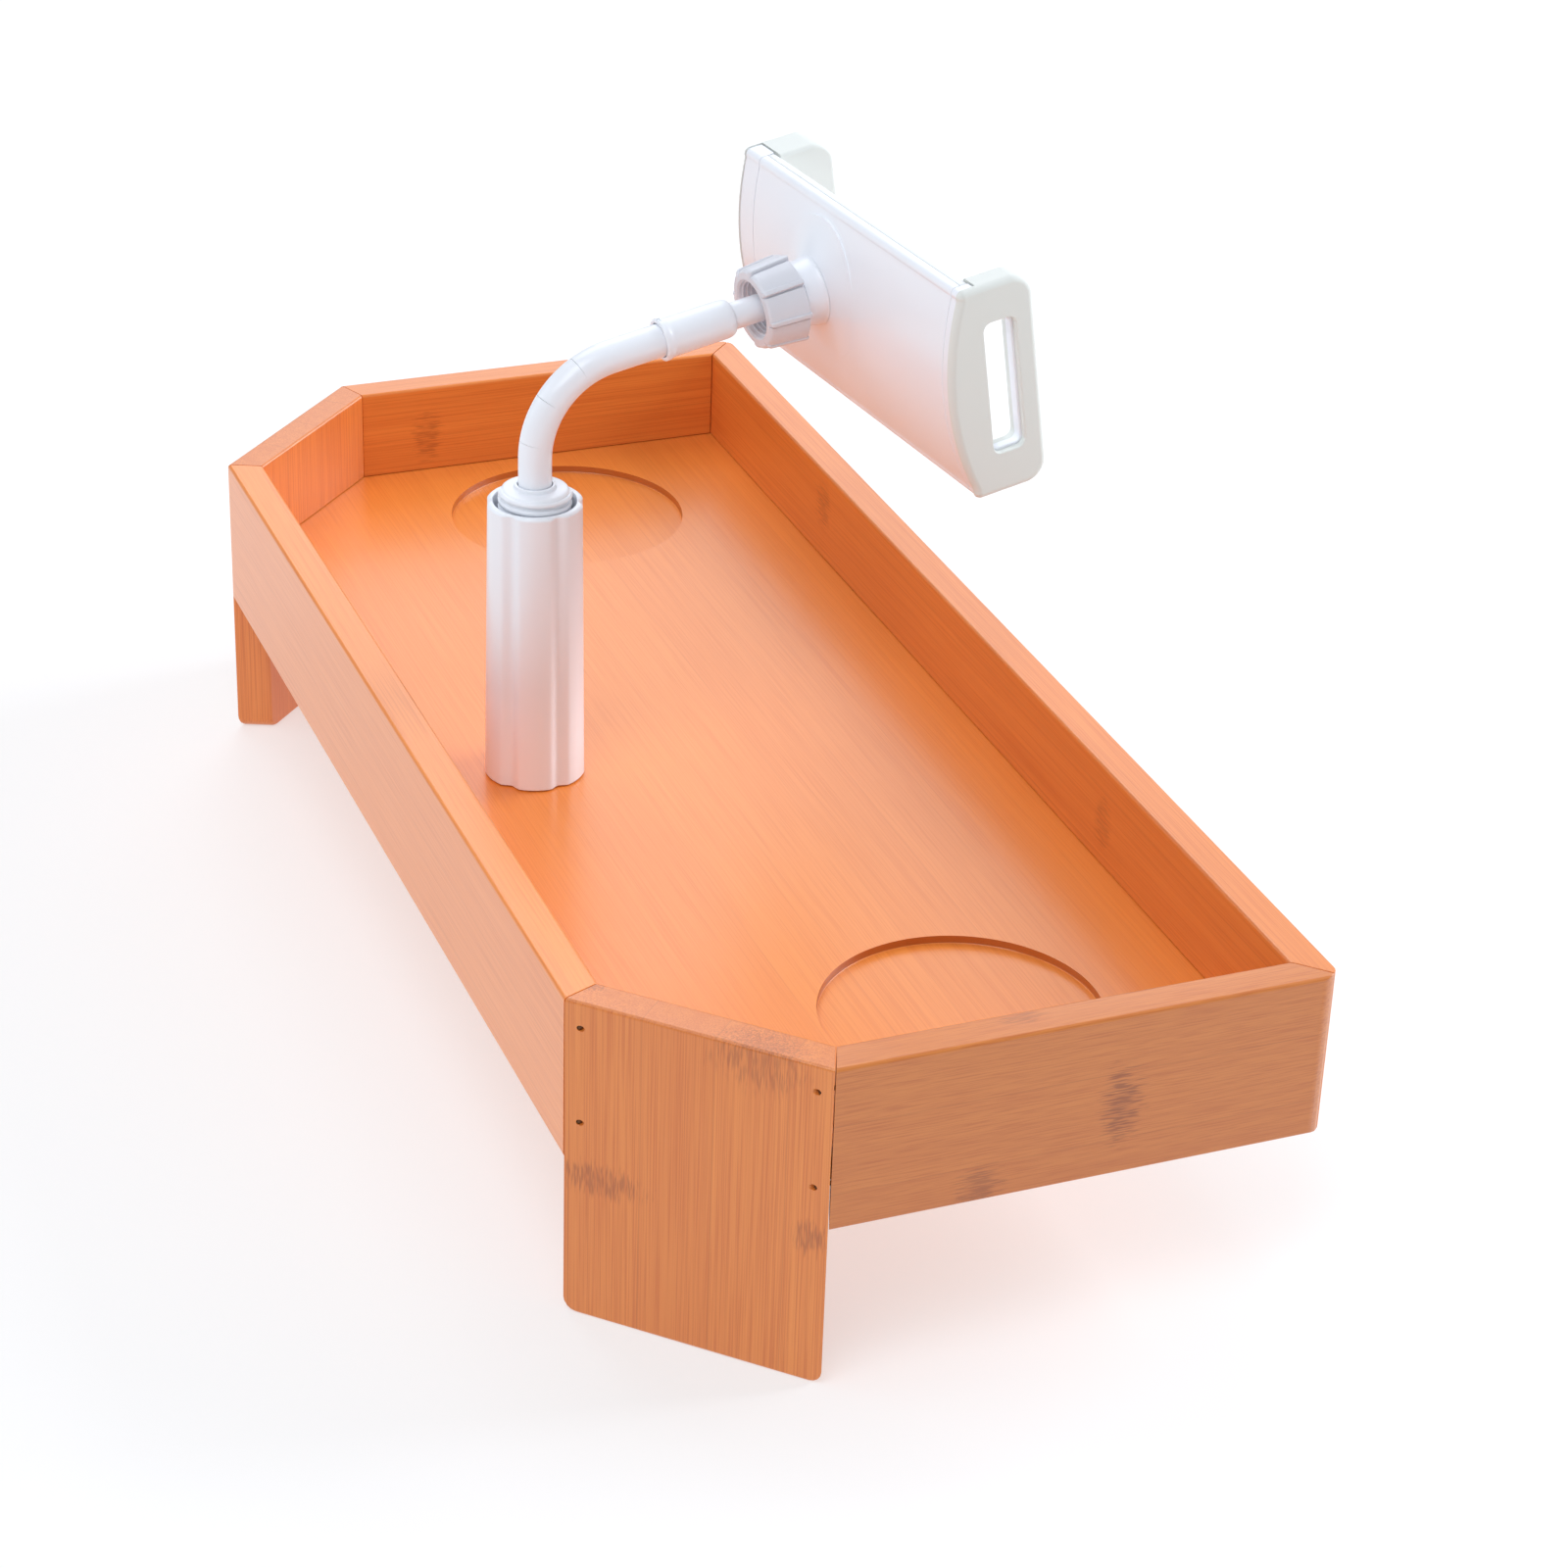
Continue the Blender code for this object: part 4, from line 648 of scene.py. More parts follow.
def coil_tree():
    """Coil about Z: a round wire on a rising spiral, for threads and springs."""
    tree, given = new_shape_tree("coil", [
        ("Radius", "NodeSocketFloat", 0.005), ("End radius", "NodeSocketFloat", 0.005),
        ("Height", "NodeSocketFloat", 0.01), ("Turns", "NodeSocketFloat", 3.0),
        ("Wire radius", "NodeSocketFloat", 0.0005), ("Points", "NodeSocketInt", 48),
        ("Sides", "NodeSocketInt", 10), ("Finish", "NodeSocketMaterial", None)])
    spiral = add_node(tree, "GeometryNodeCurveSpiral", None, {
        "Resolution": given["Points"], "Rotations": given["Turns"], "Start Radius": given["Radius"],
        "End Radius": given["End radius"], "Height": given["Height"]}).outputs[0]
    return drawn_round(tree, spiral, given["Sides"], given["Wire radius"], given["Finish"])


def ring_tree():
    """Copies round Z: one piece repeated at equal turns."""
    tree, given = new_shape_tree("copies round an axis", [
        ("Piece", "NodeSocketObject", None), ("Count", "NodeSocketInt", 8),
        ("First turn", "NodeSocketFloat", 0.0), ("Finish", "NodeSocketMaterial", None)])
    points = add_node(tree, "GeometryNodeMeshLine", {"mode": "OFFSET"},
                      {"Count": given["Count"], "Offset": (0.0, 0.0, 0.0)}).outputs[0]
    index = add_node(tree, "GeometryNodeInputIndex").outputs[0]
    share = math_node(tree, "DIVIDE", index, given["Count"])
    turn = math_node(tree, "MULTIPLY_ADD", share, 2.0 * math.pi, given["First turn"])
    euler = add_node(tree, "ShaderNodeCombineXYZ", None, {2: turn}).outputs[0]
    rotation = add_node(tree, "FunctionNodeEulerToRotation", None, {0: euler}).outputs[0]
    return copied(tree, given, points, Rotation=rotation)


def spots_tree():
    """Copies on spots: one piece repeated at the object's own points."""
    tree, given = new_shape_tree("copies on spots", [
        ("Piece", "NodeSocketObject", None), ("Finish", "NodeSocketMaterial", None)])
    return copied(tree, given, given["Geometry"])


TREES = {"tube": tube_tree, "coil": coil_tree, "ring": ring_tree, "spots": spots_tree}
MADE_TREES = {}


def grown_piece(name, kind, values, finish, points=((0.0, 0.0, 0.0),), edges=()):
    """A plain mesh made by one of the trees from named values."""
    if kind not in MADE_TREES:
        MADE_TREES[kind] = TREES[kind]()
    tree = MADE_TREES[kind]
    mesh = bpy.data.meshes.new(name)
    mesh.from_pydata([tuple(p) for p in points], list(edges), [])
    made = linked(name, mesh)
    modifier = made.modifiers.new(kind, "NODES")
    modifier.node_group = tree
    keys = {item.name: item.identifier for item in tree.interface.items_tree if item.in_out == "INPUT"}
    for label, value in {**values, "Finish": finish_of(finish)}.items():
        modifier[keys[label]] = value
    return applied(made)


# Tray

BOARDS = {
    "front_rail": "bamboo_front_rail",
    "back_rail": "bamboo_back_rail",
    "right_end_rail": "bamboo_right_end",
    "left_end_rail": "bamboo_left_end",
    "right_leg": "bamboo_right_leg",
    "left_leg": "bamboo_left_leg",
}


def mark_end_grain_and_shade(made, share):
    """Notes on each face how strongly it is darkened: end grain, and on the floor also painted shade in the cup
    recesses.
    """
    marks = made.data.attributes.new(END_GRAIN_AND_SHADE, "FLOAT", "FACE")
    for polygon in made.data.polygons:
        marks.data[polygon.index].value = share(polygon.normal)


class TRAY_OT_boards(Operator):
    """Rails and leg boards with eased edges"""
    bl_idname = "tray.boards"
    bl_label = "Boards"

    def execute(self, context):
        for node, finish in BOARDS.items():
            board = softened(copy_of(node, finish), context.scene.bamboo_look.eased)
            if node.endswith("_leg"):
                mark_end_grain_and_shade(board, lambda normal: 0.12 if abs(normal.z) > 0.8 else 0.0)
            dress(board, "tray", "wood", node)
        return {"FINISHED"}


class TRAY_OT_floor(Operator):
    """Floor panel with its two cup recesses"""
    bl_idname = "tray.floor"
    bl_label = "Floor"

    def execute(self, context):
        spots = [vertex.co for vertex in frame["nodes"]["floor_panel"].data.vertices]
        low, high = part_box("floor_panel")
        front = max(spot.x for spot in spots if spot.y < low.y + 1e-5)
        side = min(spot.y for spot in spots if spot.x > high.x - 1e-5)
        outline = [(-front, low.y), (front, low.y), (high.x, side), (high.x, high.y), (low.x, high.y),
                   (low.x, side)]
        slab = lofted([[(x, y, z) for x, y in outline] for z in (low.z, high.z)])
        panel = new_piece("floor_panel_dressed", slab, "bamboo_floor")
        rim, hole, past = 0.045, 0.0028, 0.001
        for name in ("right_cup_recess", "left_cup_recess"):
            at = Vector(MOUNTS[name]["pos_m"])
            top = high.z - at.z + 2.0 * past
            profile = [(0.0, 0.0), (rim, 0.0, 1.0), (rim, top), (0.0, top)]
            cut(panel, moved(turned(eased(profile, 0.0005), 128), Matrix.Translation(at)))
        # Full darkening on the floor's upright faces: the cut fibres, and painted shade on the cup recesses'
        # walls.
        mark_end_grain_and_shade(panel, lambda normal: 1.0 if abs(normal.z) < 0.8 else 0.0)
        place = Matrix.Translation((SWIVEL_AT.x, SWIVEL_AT.y, 0.0))
        bored(panel, hole, low.z - past, high.z + past, place, 24)
        dress(panel, "tray", "wood", "floor_panel")
        return {"FINISHED"}


class TRAY_OT_brads(Operator):
    """Sunk finishing brads"""
    bl_idname = "tray.brads"
    bl_label = "Brads"

    def execute(self, context):
        for name in frame["nodes"]:
            if "_brad_" in name:
                # Their heads are darkened as painted shade in their sunk holes.
                repaint(name, "bronzed_steel")
        return {"FINISHED"}


# Holder's foot

def flute_depth(angle, flutes, first, width):
    """Depth of the sleeve's hollows at an angle, from 0 to 1."""
    pitch = 2.0 * math.pi / flutes
    offset = (angle - first - pitch / 2.0) % pitch
    offset = min(offset, pitch - offset)
    half = width / 2.0
    return 0.5 * (1.0 + math.cos(math.pi * offset / half)) if offset < half else 0.0


class TRAY_OT_sleeve(Operator):
    """Fluted grip sleeve"""
    bl_idname = "tray.sleeve"
    bl_label = "Grip sleeve"

    def execute(self, context):
        low, high = local_box("grip_sleeve", STAND)
        foot, top, depth, edge = 0.0173, 0.0162, 0.0015, 0.0011
        flutes, first, width = 6, math.radians(-24.4), math.radians(27.0)
        low_edge = edge * 0.5
        stations = [(low.z + low_edge * (1.0 - math.cos(a)), low_edge * (1.0 - math.sin(a)))
                    for a in quarter(6)]
        stations += [(high.z - edge * (1.0 - math.cos(a)), edge * (1.0 - math.sin(a)))
                     for a in reversed(quarter(6))]
        angles = [2.0 * math.pi * i / 180 for i in range(180)]
        rings = []
        for height, inset in stations:
            reach = foot + (top - foot) * (height - low.z) / (high.z - low.z) - inset
            rings.append(around([(a, reach - depth * flute_depth(a, flutes, first, width)) for a in angles],
                                height))
        sleeve = new_piece("grip_sleeve_dressed", lofted(rings), "gloss_abs_white")
        mouth, bore, floor, shoulder, flare = 0.0137, 0.0128, 0.012, high.z - 0.008, 0.0005
        cut(sleeve, turned(eased([(0.0, floor), (bore, floor), (bore, shoulder), (mouth, shoulder, 1.0),
                                  (mouth, high.z - 0.0006), (mouth + flare, high.z + 0.0001),
                                  (mouth + flare, high.z + 0.001), (0.0, high.z + 0.001)], 0.0008)))
        insert_bore, insert_top = 0.0048, low.z + 0.0096
        cut(sleeve, rod(insert_bore, low.z - 0.001, insert_top))
        dress(sleeve, "tray", "white_plastic", "grip_sleeve", place=STAND)
        return {"FINISHED"}


class TRAY_OT_collar(Operator):
    """Collar with its screw thread"""
    bl_idname = "tray.collar"
    bl_label = "Threaded collar"

    def execute(self, context):
        look = context.scene.holder_look
        low, high = local_box("threaded_collar", STAND)
        wire = 0.0010
        core, neck_hole, ferrule = high.x - 0.0001 - wire, 0.0059, 0.0069
        top = SWIVEL_AT.z - STAND.translation.z
        floor = top - 0.0146
        profile = [(0.0, low.z), (core, low.z, 1.0), (core, top, 2.6), (ferrule, top, 1.0),
                   (ferrule, high.z, 1.4), (neck_hole, high.z, 0.6), (neck_hole, floor), (0.0, floor)]
        collar = new_piece("threaded_collar_dressed", turned(eased(profile, 0.0006)), "gloss_abs_white")
        dress(collar, "tray", "white_plastic", "threaded_collar", place=STAND)
        margin = look.thread_pitch * 0.35
        height = top - low.z - 2.0 * margin
        thread = grown_piece("collar_thread", "coil", {
            "Radius": core, "End radius": core, "Height": height, "Turns": height / look.thread_pitch,
            "Wire radius": wire, "Points": 64, "Sides": 12}, "gloss_abs_white")
        thread.data.transform(Matrix.Translation((0.0, 0.0, low.z + margin)))
        dress(thread, "tray", "white_plastic", place=STAND)
        return {"FINISHED"}


# Gooseneck

COUPLING_TIP, COUPLING_LENGTH, COUPLING_BORE = -0.0216, 0.0263, 0.0103


def neck_path():
    """The gooseneck's centre line in the stand's frame, from the joints: the point at a distance along it,
    and the distance of the ball's middle."""
    inverse = STAND.inverted()
    ball = inverse @ BALL_AT
    out = (STAND.to_3x3().inverted() @ OUT).normalized()
    start = (inverse @ SWIVEL_AT).z
    lean = math.atan2(out.y, out.z)
    radius, rise = 0.032, 0.0103
    bend_end = Vector((0.0, radius * (1.0 - math.cos(lean)), start + rise + radius * math.sin(lean)))
    arc_length = lean * radius

    def at(distance):
        if distance >= rise + arc_length:
            return bend_end + out * (distance - rise - arc_length)
        if distance <= rise:
            return Vector((0.0, 0.0, start + distance))
        angle = (distance - rise) / radius
        return Vector((0.0, radius * (1.0 - math.cos(angle)), start + rise + radius * math.sin(angle)))
    return at, rise + arc_length + (ball - bend_end).length


class TRAY_OT_gooseneck(Operator):
    """Smooth skin of the gooseneck, in sections along its centre line"""
    bl_idname = "tray.gooseneck"
    bl_label = "Gooseneck"

    def execute(self, context):
        sides = context.scene.holder_look.tube_sides
        at, ball = neck_path()
        first, gap, radius, foot, section = 0.009, 0.014, 0.0056, -0.0140, 0.00075
        tip = ball + COUPLING_TIP - COUPLING_LENGTH + COUPLING_BORE - 0.0005
        ends = [foot] + [first + gap * (k - 0.5) for k in range(6)] + [tip]
        for index, (start, end) in enumerate(zip(ends, ends[1:])):
            count = max(4, round((end - start) / section))
            points = [at(start + (end - start) * i / count) for i in range(count + 1)]
            edges = [(i, i + 1) for i in range(count)]
            tube = grown_piece(f"gooseneck_skin_{index + 1}", "tube", {"Radius": radius, "Sides": sides},
                               "gloss_abs_white", points, edges)
            tube.data.transform(STAND)
            if index == 0:
                dress(tube, "neck_1", "white_plastic", "gooseneck_link_1")
            elif index == len(ends) - 2:
                dress(tube, "neck_6", "white_plastic")
            else:
                smoothed(tube)
                tuple(STAND @ at(start))
                tuple(STAND @ at(end))
                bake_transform(tube)
                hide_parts(f"gooseneck_link_{index + 1}")
        return {"FINISHED"}


class TRAY_OT_coupling(Operator):
    """Sleeve between the gooseneck and the ball"""
    bl_idname = "tray.coupling"
    bl_label = "Coupling"

    def execute(self, context):
        tip, rim = COUPLING_TIP, COUPLING_TIP - COUPLING_LENGTH
        body, flange, nose, round_end = 0.0066, 0.0073, 0.0054, 0.0034
        neck_bore, neck_end, stud_bore, stud_end = 0.0059, rim + COUPLING_BORE, 0.0049, tip - 0.0123
        profile = [(0.0, neck_end), (neck_bore, neck_end), (neck_bore, rim, 0.4), (flange, rim, 1.0),
                   (flange, rim + 0.0016, 1.0), (body + 0.0001, rim + 0.0030, 1.5)]
        profile += [(nose + (body - nose) * math.cos(a), tip - round_end + round_end * math.sin(a))
                    for a in quarter(12)]
        profile += [(stud_bore, tip), (stud_bore, stud_end), (0.0, stud_end)]
        sleeve = new_piece("coupling_sleeve_dressed", turned(eased(profile, 0.0006)), "gloss_abs_white")
        notch = block(0.0022, 0.0012, 0.0010)
        cut(sleeve, moved(notch, Matrix.Translation((0.0, -flange, rim + 0.0008))))
        dress(sleeve, "neck_6", "white_plastic", "coupling_sleeve", place=BALL)
        return {"FINISHED"}


# Ball joint and nut

FLANGE, FLANGE_BACK = 0.0122, 0.0097


def ball_arc(radius, start_deg, end_deg, steps):
    """Points on a ball's section as (radius, height), angles counted from the top."""
    return [(across, up) for up, across in arc((0.0, 0.0), radius, start_deg, end_deg, steps)]


class TRAY_OT_ball_joint(Operator):
    """Ball stud, seat, clamp ring, socket and pivot"""
    bl_idname = "tray.ball_joint"
    bl_label = "Ball joint"

    def execute(self, context):
        stud, stud_end, ball = 0.0046, -0.0336, 0.0075
        profile = [(0.0, stud_end), (stud, stud_end)]
        profile += reversed(ball_arc(ball, 0.0, 180.0 - math.degrees(math.asin(stud / ball)), 32))
        made = new_piece("ball_stud_dressed", turned(profile), "gloss_abs_white")
        dress(made, "neck_6", "white_plastic", "ball_stud", place=BALL)

        front, back, side, mouth = -0.0055, 0.0010, 0.0112, 0.0069
        hollow = ball + 0.0003
        profile = [p + (0.0,) for p in ball_arc(hollow, math.degrees(math.acos(back / hollow)),
                                                180.0 - math.degrees(math.asin(mouth / hollow)), 16)]
        profile += [(mouth + 0.0007, front, 0.6), (side, front, 1.0), (side, back)]
        made = new_piece("clamp_ring_dressed", turned(eased(profile, 0.0007)), "satin_abs_grey")
        dress(made, "socket", "grey_plastic", "clamp_ring", place=BALL)

        front, back, stem, top = 0.0013, 0.0110, 0.0050, local_box("socket_base", BALL)[1].z
        pocket, gap, groove, flare, rim = 0.0096, 0.0017, 0.0010, 0.0050, FLANGE_BACK - 0.0003
        screw_hole, hole_end = 0.0018, top - 0.0033
        profile = [p + (0.0,) for p in ball_arc(pocket, 0.0, math.degrees(math.acos(front / pocket)), 24)]
        profile += [(side, front), (side, gap), (side - groove, gap), (side - groove, gap + groove),
                    (side, gap + groove)]
        profile += [(FLANGE - (FLANGE - side) * math.cos(a), flare + (rim - flare) * math.sin(a))
                    for a in quarter(20)]
        profile += [(FLANGE, FLANGE_BACK, 0.2), (side, FLANGE_BACK), (side, back), (stem, back), (stem, top),
                    (screw_hole, top), (screw_hole, hole_end), (0.0, hole_end)]
        made = new_piece("socket_base_dressed", turned(eased(profile, 0.0004)), "gloss_abs_white")
        dress(made, "socket", "white_plastic", "socket_base", place=BALL)
        repaint("ball_seat", "satin_abs_grey")
        repaint("pivot_washer", "zinc_plated_steel")
        repaint("pivot_screw", "zinc_plated_steel")
        return {"FINISHED"}


# One panel of the nut, from rib to rib: (share of the turn, depth in steps). A groove follows the rib
NUT_PANEL = ((0.0, 0.8), (0.13, 0.8), (0.15, 1.7), (0.20, 1.7), (0.22, 1.0),
             *((0.22 + 0.76 * i / 9.0, 1.0 - 0.055 * i) for i in range(1, 10)))


class TRAY_OT_locking_nut(Operator):
    """Locking nut with its grip ribs and inner thread"""
    bl_idname = "tray.locking_nut"
    bl_label = "Locking nut"

    def execute(self, context):
        count = context.scene.holder_look.nut_ribs
        low, high = local_box("locking_nut", BALL)
        big, small, step, chamfer = 0.0156, 0.0145, 0.0010, 0.0012
        pitch = 2.0 * math.pi / count
        stations = ((low.z, small - chamfer), (low.z + 0.0003, small - chamfer * 0.55),
                    (low.z + 0.0007, small - chamfer * 0.22), (low.z + chamfer, small),
                    (high.z - 0.0012, big), (high.z - 0.0006, big - 0.0002), (high.z - 0.0002, big - 0.0008))
        rings = [around([(pitch * (i + turn), radius - step * drop) for i in range(count)
                         for turn, drop in NUT_PANEL], height) for height, radius in stations]
        body = new_piece("locking_nut_body", lofted(rings), "satin_abs_grey")
        throat, bore, mouth, ledge, flare, past = 0.0082, 0.0115, 0.0099, -0.0058, 0.0006, 0.001
        cut(body, turned(eased([(0.0, low.z - past), (mouth + flare, low.z - past), (mouth + flare, low.z),
                                (mouth, low.z + flare), (throat, ledge), (bore, ledge),
                                (bore, high.z - 0.0004), (bore + 0.0004, high.z),
                                (bore + 0.0004, high.z + past), (0.0, high.z + past)], 0.0003), 64))
        dress(body, "nut", "grey_plastic", "locking_nut", place=BALL, sharp_deg=30.0)

        wide, rooted = 0.0019, step * 2.6
        rings = []
        for height, radius, narrow in ((low.z + 0.0002, small - chamfer * 0.75, 0.0004),
                                       (low.z + 0.0006, small - chamfer * 0.3, 0.0001),
                                       (low.z + chamfer, small, 0.0), (high.z - 0.0006, big, 0.0),
                                       (high.z - 0.0001, big - 0.0003, 0.0003)):
            half, inner = wide / 2.0 - narrow, radius - rooted
            corners = [(inner, -half), (radius, -half, 1.0), (radius, half, 1.0), (inner, half)]
            rings.append([(x, y, height) for x, y in eased(corners, 0.0005, 3)])
        rib = new_piece("rib", lofted(rings), "satin_abs_grey")
        ribs = grown_piece("locking_nut_ribs", "ring",
                           {"Piece": rib, "Count": count, "First turn": pitch * 0.07}, "satin_abs_grey")
        dropped(rib)
        dress(ribs, "nut", "grey_plastic", place=BALL)
        height, rise = ledge - low.z - 0.0018, 0.0015
        thread = grown_piece("locking_nut_thread", "coil", {
            "Radius": mouth - 0.0002, "End radius": throat + 0.0005, "Height": height,
            "Turns": height / rise, "Wire radius": 0.00045, "Points": 64, "Sides": 8}, "satin_abs_grey")
        thread.data.transform(Matrix.Translation((0.0, 0.0, low.z + 0.0012)))
        dress(thread, "nut", "grey_plastic", place=BALL)
        return {"FINISHED"}


# Tablet clamp

HEIGHT, BULGE, EDGE, CORNER, WALL = 0.0735, 0.006, 0.0015, 0.0022, 0.003
ROD_HOLE = 0.0016


def clamp_outline(front, inset=0.0, corner=CORNER):
    """Section of the clamp in Y and Z: a swelling back, round corners and a flat front."""
    half = HEIGHT / 2.0 - inset
    points = [(front, -half), (front, half)]
    edge = EDGE + inset
    slope = math.atan2(2.0 * BULGE, half)
    centre = (edge + corner, half - corner)
    points += [(edge + corner, half)]
    top = arc(centre, corner, 90.0, 180.0 + math.degrees(slope) * 0.9, 10)[1:]
    points += top
    last, count = top[-1], 36
    for i in range(1, count):
        share = 1.0 - 2.0 * i / count
        depth = edge - BULGE * (1.0 - share * share)
        points.append((depth + (last[0] - edge) * abs(share) ** 3, last[1] * share))
    points += [(y, -z) for y, z in reversed(top)]
    return points + [(edge + corner, -half)]


def mound(x, z, top, spread):
    """A swelling round a spot on the clamp's back, which gives the socket a round seat and blends away."""
    sunk, foot = 0.00006, 0.0012

    def ring(radius, height):
        return [(x + across, height(z + up), z + up) for across, up in circle(radius, 96)]

    def skin(spot_z):
        return EDGE - BULGE * (1.0 - (2.0 * spot_z / HEIGHT) ** 2)

    rings = [[(x, top, z)], ring(FLANGE - 0.0001, lambda spot_z: top)]
    for step in range(25):
        part = step / 24.0
        share = (1.0 - part) ** 2
        rings.append(ring(FLANGE + spread * part, lambda spot_z, share=share:
                          top * share + (skin(spot_z) + sunk) * (1.0 - share)))
    rings.append(ring(FLANGE + spread, lambda spot_z: skin(spot_z) + foot))
    rings.append([(x, skin(z) + foot, z)])
    return lofted(rings)


COVER_SCREWS = [f"cover_screw_{index}" for index in (1, 2, 3, 4)]


def screw_spots():
    """Where the cover's screws are, in the clamp's frame."""
    return [middle_of(name, CLAMP) for name in COVER_SCREWS]


class TRAY_OT_clamp_body(Operator):
    """Back shell and front cover of the clamp"""
    bl_idname = "tray.clamp_body"
    bl_label = "Clamp body"

    def execute(self, context):
        low, high = local_box("clamp_back_shell", CLAMP)
        outline = clamp_outline(high.y)
        shell = new_piece("clamp_back_shell_dressed",
                          bar_along_x(outline, low.x, high.x, 0.0003, 0.0003), "gloss_abs_white")
        skin, past, seat = 0.0018, 0.001, low.y + 0.0015
        inside = clamp_outline(high.y + 2.0 * past, skin, 0.001)
        cut(shell, bar_along_x(inside, low.x + WALL, high.x - WALL))
        spin = CLAMP.inverted() @ BALL_AT
        pivot = along_y(spin.x, spin.z)
        pad, pocket, pivot_hole = 0.0112, 0.0115, 0.0053
        combined(shell, mound(spin.x, spin.z, low.y, 0.0120), "UNION")
        combined(shell, moved(rod(pad, seat + 0.0005, seat + 0.0030, 64), pivot), "UNION")
        bored(shell, pocket, low.y - past, seat, pivot, 96)
        bored(shell, pivot_hole, seat - past, seat + 0.005, pivot, 48)
        for index in (1, 2):
            mid = middle_of(f"guide_rod_{index}", CLAMP)
            bored(shell, ROD_HOLE, high.x - WALL - past, high.x + past, along_x(mid.y, mid.z))
        dress(shell, "clamp", "white_plastic", "clamp_back_shell", place=CLAMP)

        low, high = local_box("clamp_front_cover", CLAMP)
        half, corner = HEIGHT / 2.0, 0.0022
        outline = eased([(low.y, -half, 0.2), (high.y, -half, 1.0), (high.y, half, 1.0), (low.y, half, 0.2)],
                        corner, 8)
        cover = new_piece("clamp_front_cover_dressed",
                          bar_along_x(outline, low.x, high.x, 0.0005, 0.0005), "satin_abs_cover")
        hole, head, head_depth = 0.0015, 0.0028, 0.0015
        for spot in screw_spots():
            place = along_y(spot.x, spot.z)
            bored(cover, hole, low.y - past, high.y + past, place)
            bored(cover, head, high.y - head_depth, high.y + past, place)
        dress(cover, "clamp", "cover_grey", "clamp_front_cover", place=CLAMP)
        return {"FINISHED"}


def cross_screw(name, place, head_height, shank, along):
    """A flat-headed screw of a CAD screw's size with a cross recess, its head's top at zero and its shank
    below. Its length runs along one axis of the given frame."""
    low, high = local_box(name, place)
    head, length = (high.x - low.x) / 2.0, high[along] - low[along]
    profile = eased([(0.0, -length), (shank, -length, 0.6), (shank, -head_height), (head, -head_height),
                     (head, 0.0, 1.0), (0.0, 0.0)], head_height * 0.3)
    screw = new_piece(f"{name}_dressed", turned(profile, 32), "zinc_plated_steel")
    for turn in (0.0, math.pi / 2.0):
        slot = block(head * 1.15, head * 0.26, head_height * 1.1)
        cut(screw, moved(slot, Matrix.Rotation(turn, 4, "Z")))
    return screw


class TRAY_OT_screws(Operator):
    """Cross-head screws, washer and insert"""
    bl_idname = "tray.screws"
    bl_label = "Screws"

    def execute(self, context):
        screw = cross_screw(COVER_SCREWS[0], CLAMP, 0.0012, 0.0012, 1)
        screw.data.transform(Matrix.Rotation(-math.pi / 2.0, 4, "X"))
        top = local_box(COVER_SCREWS[0], CLAMP)[1].y
        spots = [(spot.x, top, spot.z) for spot in screw_spots()]
        screws = grown_piece("cover_screws", "spots", {"Piece": screw}, "zinc_plated_steel", spots)
        dropped(screw)
        dress(screws, "clamp", "steel", *COVER_SCREWS, place=CLAMP)

        screw = cross_screw("mounting_screw", STAND, 0.0030, 0.0025, 2)
        foot = local_box("mounting_screw", STAND)[0].z
        flip = Matrix.Translation((0.0, 0.0, foot)) @ Matrix.Rotation(math.pi, 4, "X")
        dress(screw, "tray", "steel", "mounting_screw", place=STAND @ flip)
        for name in ("mounting_washer", "fixed_jaw_screw_1", "fixed_jaw_screw_2", "guide_rod_1",
                     "guide_rod_2"):
            repaint(name, "zinc_plated_steel")
        repaint("threaded_insert", "turned_brass")
        return {"FINISHED"}


class TRAY_OT_springs(Operator):
    """Two compression springs on the guide rods"""
    bl_idname = "tray.springs"
    bl_label = "Springs"

    def execute(self, context):
        turns = context.scene.holder_look.spring_turns
        for index in (1, 2):
            low, high = local_box(f"jaw_spring_{index}", CLAMP)
            mid = (low + high) / 2.0
            wire = 0.0003
            length, coil = high.x - low.x, (high.z - low.z) / 2.0 - wire
            spring = grown_piece(f"jaw_spring_{index}_dressed", "coil", {
                "Radius": coil, "End radius": coil, "Height": length - 2.0 * wire, "Turns": float(turns),
                "Wire radius": wire, "Points": 32, "Sides": 8}, "zinc_plated_steel")
            place = CLAMP @ Matrix.Translation((low.x + wire, 0.0, 0.0)) @ along_x(mid.y, mid.z)
            dress(spring, "clamp", "steel", f"jaw_spring_{index}", place=place)
            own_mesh(spring)
        return {"FINISHED"}


SLOT_LOW, SLOT_HIGH, SLOT_HALF = 0.0091, 0.0207, 0.02315
SLOT_MID, SLOT_ROUND, SLOT_LIP = 0.0005, 0.0028, 0.0009


def slot_outline(grow):
    """Section of the finger slot."""
    radius, half = SLOT_ROUND + grow, SLOT_HALF + grow
    back, front = SLOT_LOW - grow + radius, SLOT_HIGH + grow - radius
    foot, top = SLOT_MID - half + radius, SLOT_MID + half - radius
    points = []
    for centre, start in (((back, foot), 180.0), ((front, foot), 270.0), ((front, top), 0.0),
                          ((back, top), 90.0)):
        points += arc(centre, radius, start, start + 90.0, 8)
    return points


def rounded_tip(tip, half, radius, steps):
    """The two rounded corners of a section's far end."""
    return (arc((tip - radius, radius - half), radius, 270.0, 360.0, steps)
            + arc((tip - radius, half - radius), radius, 0.0, 90.0, steps))


def jaw_core_outline():
    """Section of a jaw's core: the clamp's section at its foot and a tongue beyond the face."""
    foot, tip, half, radius = COVER_HIGH - 0.0003, COVER_HIGH + 0.0174, 0.0335, 0.005
    back = clamp_outline(foot)
    return [back[0], (foot, -half), *rounded_tip(tip, half, radius, 8), (foot, half)] + back[1:]


